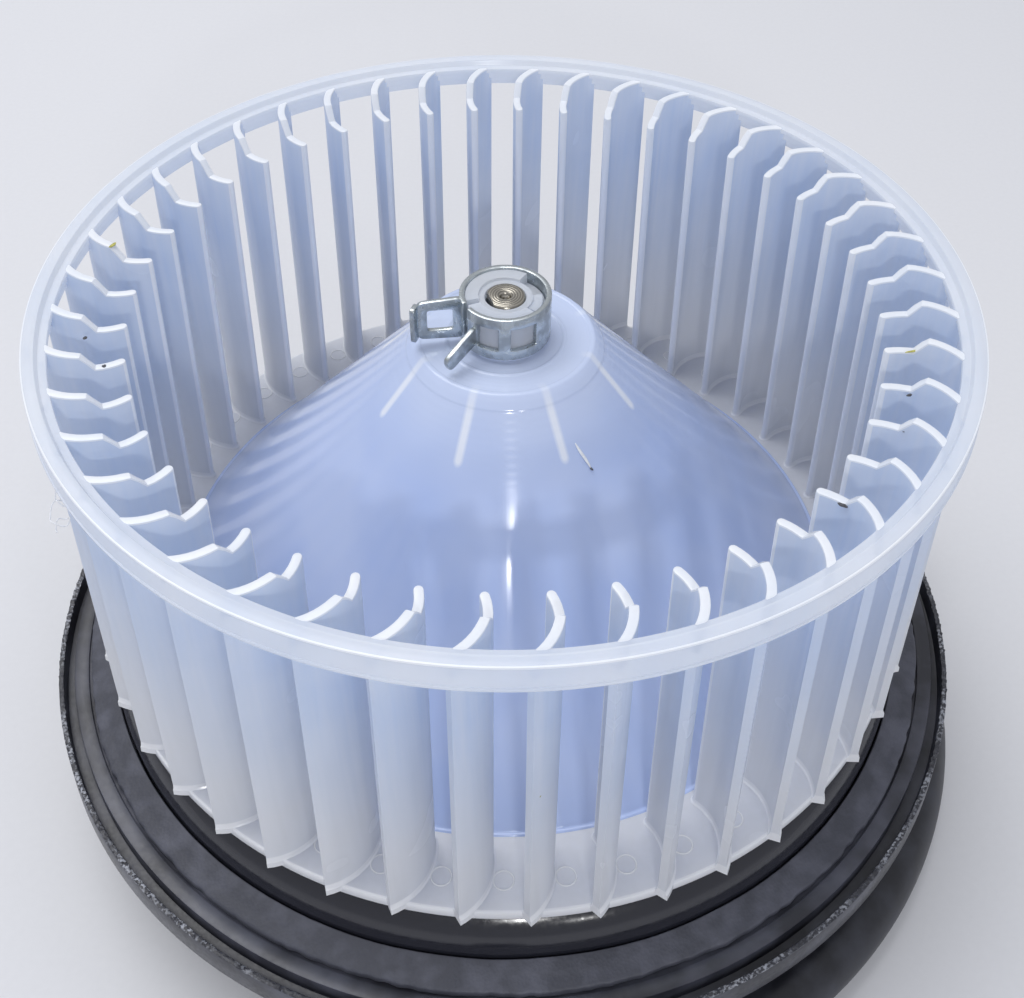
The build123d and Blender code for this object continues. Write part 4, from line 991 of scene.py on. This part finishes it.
def make_tube():
    """Moulded rubber tube, hollow, with a softened end."""
    points = tube_centre_line()
    last = len(points) - 1
    bm = bmesh.new()
    count = 40

    def section(k, radius, shift=0.0):
        along = (points[min(k + 1, last)] - points[max(k - 1, 0)]).normalized()
        side = Vector((along.y, -along.x))
        ring = []
        for j in range(count):
            a = TURN * j / count
            spot = points[k] + along * shift + side * radius * cos(a)
            ring.append(bm.verts.new((spot.x * MM, spot.y * MM, (TUBE_Z + radius * sin(a)) * MM)))
        return ring

    rows = [section(k, TUBE_R) for k in range(last)]
    rows += [section(last, TUBE_R, -0.6), section(last, TUBE_R - 0.15, -0.2), section(last, TUBE_R - 0.5)]
    rows += [section(last, TUBE_BORE_R + 0.4), section(last, TUBE_BORE_R, -0.4)]
    rows += [section(k, TUBE_BORE_R) for k in range(last - 1, -1, -1)]
    for low, high in zip(rows, rows[1:] + rows[:1]):
        for j in range(count):
            bm.faces.new((low[j], low[(j + 1) % count], high[(j + 1) % count], high[j]))
    return to_object("tube", bm, [RUBBER])


def dress_cad_nodes():
    """Every solid gets the finish of its real material."""
    for node, owner in frame["nodes"].items():
        owner.data.materials.clear()
        owner.data.materials.append(FINISHES[SLOT_OF[node]])


# Studio
def make_floor():
    """Pale, plain studio floor of matt paper."""
    made, tree, place = blank("matt_paper")
    fibres = add(tree, "ShaderNodeTexNoise", {"Vector": place, "Scale": grain(1.5), "Detail": 2.0})
    tone = add(tree, "ShaderNodeMix", {0: fibres, 6: linear("DADBDF"), 7: linear("DEDFE3")}, data_type="RGBA")
    skin = add(tree, "ShaderNodeBsdfPrincipled", {"Base Color": tone.outputs[2], "Roughness": 0.9})
    add(tree, "ShaderNodeOutputMaterial", {"Surface": skin})
    bm = bmesh.new()
    bmesh.ops.create_grid(bm, x_segments=1, y_segments=1, size=3.0)
    to_object("floor", bm, [made])


def area_light(name, place, target, width, height, power):
    data = bpy.data.lights.new(name, "AREA")
    data.shape = "RECTANGLE"
    data.size, data.size_y = width, height
    data.energy = power
    lamp = link(bpy.data.objects.new(name, data))
    lamp.location = place
    lamp.rotation_euler = (Vector(target) - Vector(place)).to_track_quat("-Z", "Y").to_euler()


def light_studio():
    """Even sky, a large softbox overhead and two small lamps near the camera, which the gloss mirrors."""
    world = bpy.data.worlds.new("studio")
    world.use_nodes = True
    back = world.node_tree.nodes["Background"]
    back.inputs["Color"].default_value = linear("F1F3FA")
    back.inputs["Strength"].default_value = 0.58
    bpy.context.scene.world = world
    area_light("overhead", (-0.35, 0.25, 1.1), (0, 0, 0.08), 0.9, 0.9, 8.0)
    area_light("camera_lamp", (0.043, -0.462, 0.333), (0, -0.036, 0.075), 0.045, 0.02, 0.4)
    area_light("low_lamp", (0.156, -0.487, 0.252), (0.01, -0.053, 0.055), 0.02, 0.02, 0.12)


def set_camera():
    """The photograph's viewpoint, from the fit to the rim, the disc and the flange."""
    data = bpy.data.cameras.new("photo_view")
    data.sensor_fit = "HORIZONTAL"
    data.sensor_width = 36.0
    data.lens = CAMERA_LENS
    camera = link(bpy.data.objects.new("photo_view", data))
    camera.matrix_world = (Matrix.Translation(CAMERA_PLACE) @ Matrix.Rotation(radians(CAMERA_TILT), 4, "X")
                           @ Matrix.Rotation(radians(CAMERA_ROLL), 4, "Z"))
    bpy.context.scene.camera = camera


def dress_up():
    """Makes each piece and says what it rides on, which slot it has and which solid it stands for."""
    for make, body, slot, stands_for in (
            (make_wheel, "rotor", "milky_plastic", "blower_wheel"),
            (make_hub_top, "rotor", "milky_plastic", None),
            (make_marks, "rotor", "milky_plastic", None),
            (make_lint, "rotor", "milky_plastic", None),
            (make_crumbs, "rotor", "milky_plastic", None),
            (make_splinter, "rotor", "milky_plastic", None),
            (make_clamp, "rotor", "zinc_spring", "hub_clamp"),
            (make_housing, "motor_body", "black_plastic", "motor_housing"),
            (make_flash, "motor_body", "black_plastic", None),
            (make_seal, "motor_body", "foam", "foam_seal"),
            (make_tube, "motor_body", "black_rubber", "cooling_tube")):
        piece = make()
        if stands_for:
            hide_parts(stands_for)
        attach(piece, body)
    for node, body, edge in (("motor_shaft", "rotor", 0.12), ("lower_cover", "motor_body", 0.4),
                             ("plug_socket", "motor_body", 0.25), ("cover_screws", "motor_body", 0.2)):
        piece = softened(node, edge)
        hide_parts(node)
        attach(piece, body)


set_camera()
light_studio()
make_floor()
dress_cad_nodes()
dress_up()
bpy.context.scene.view_settings.view_transform = "Standard"
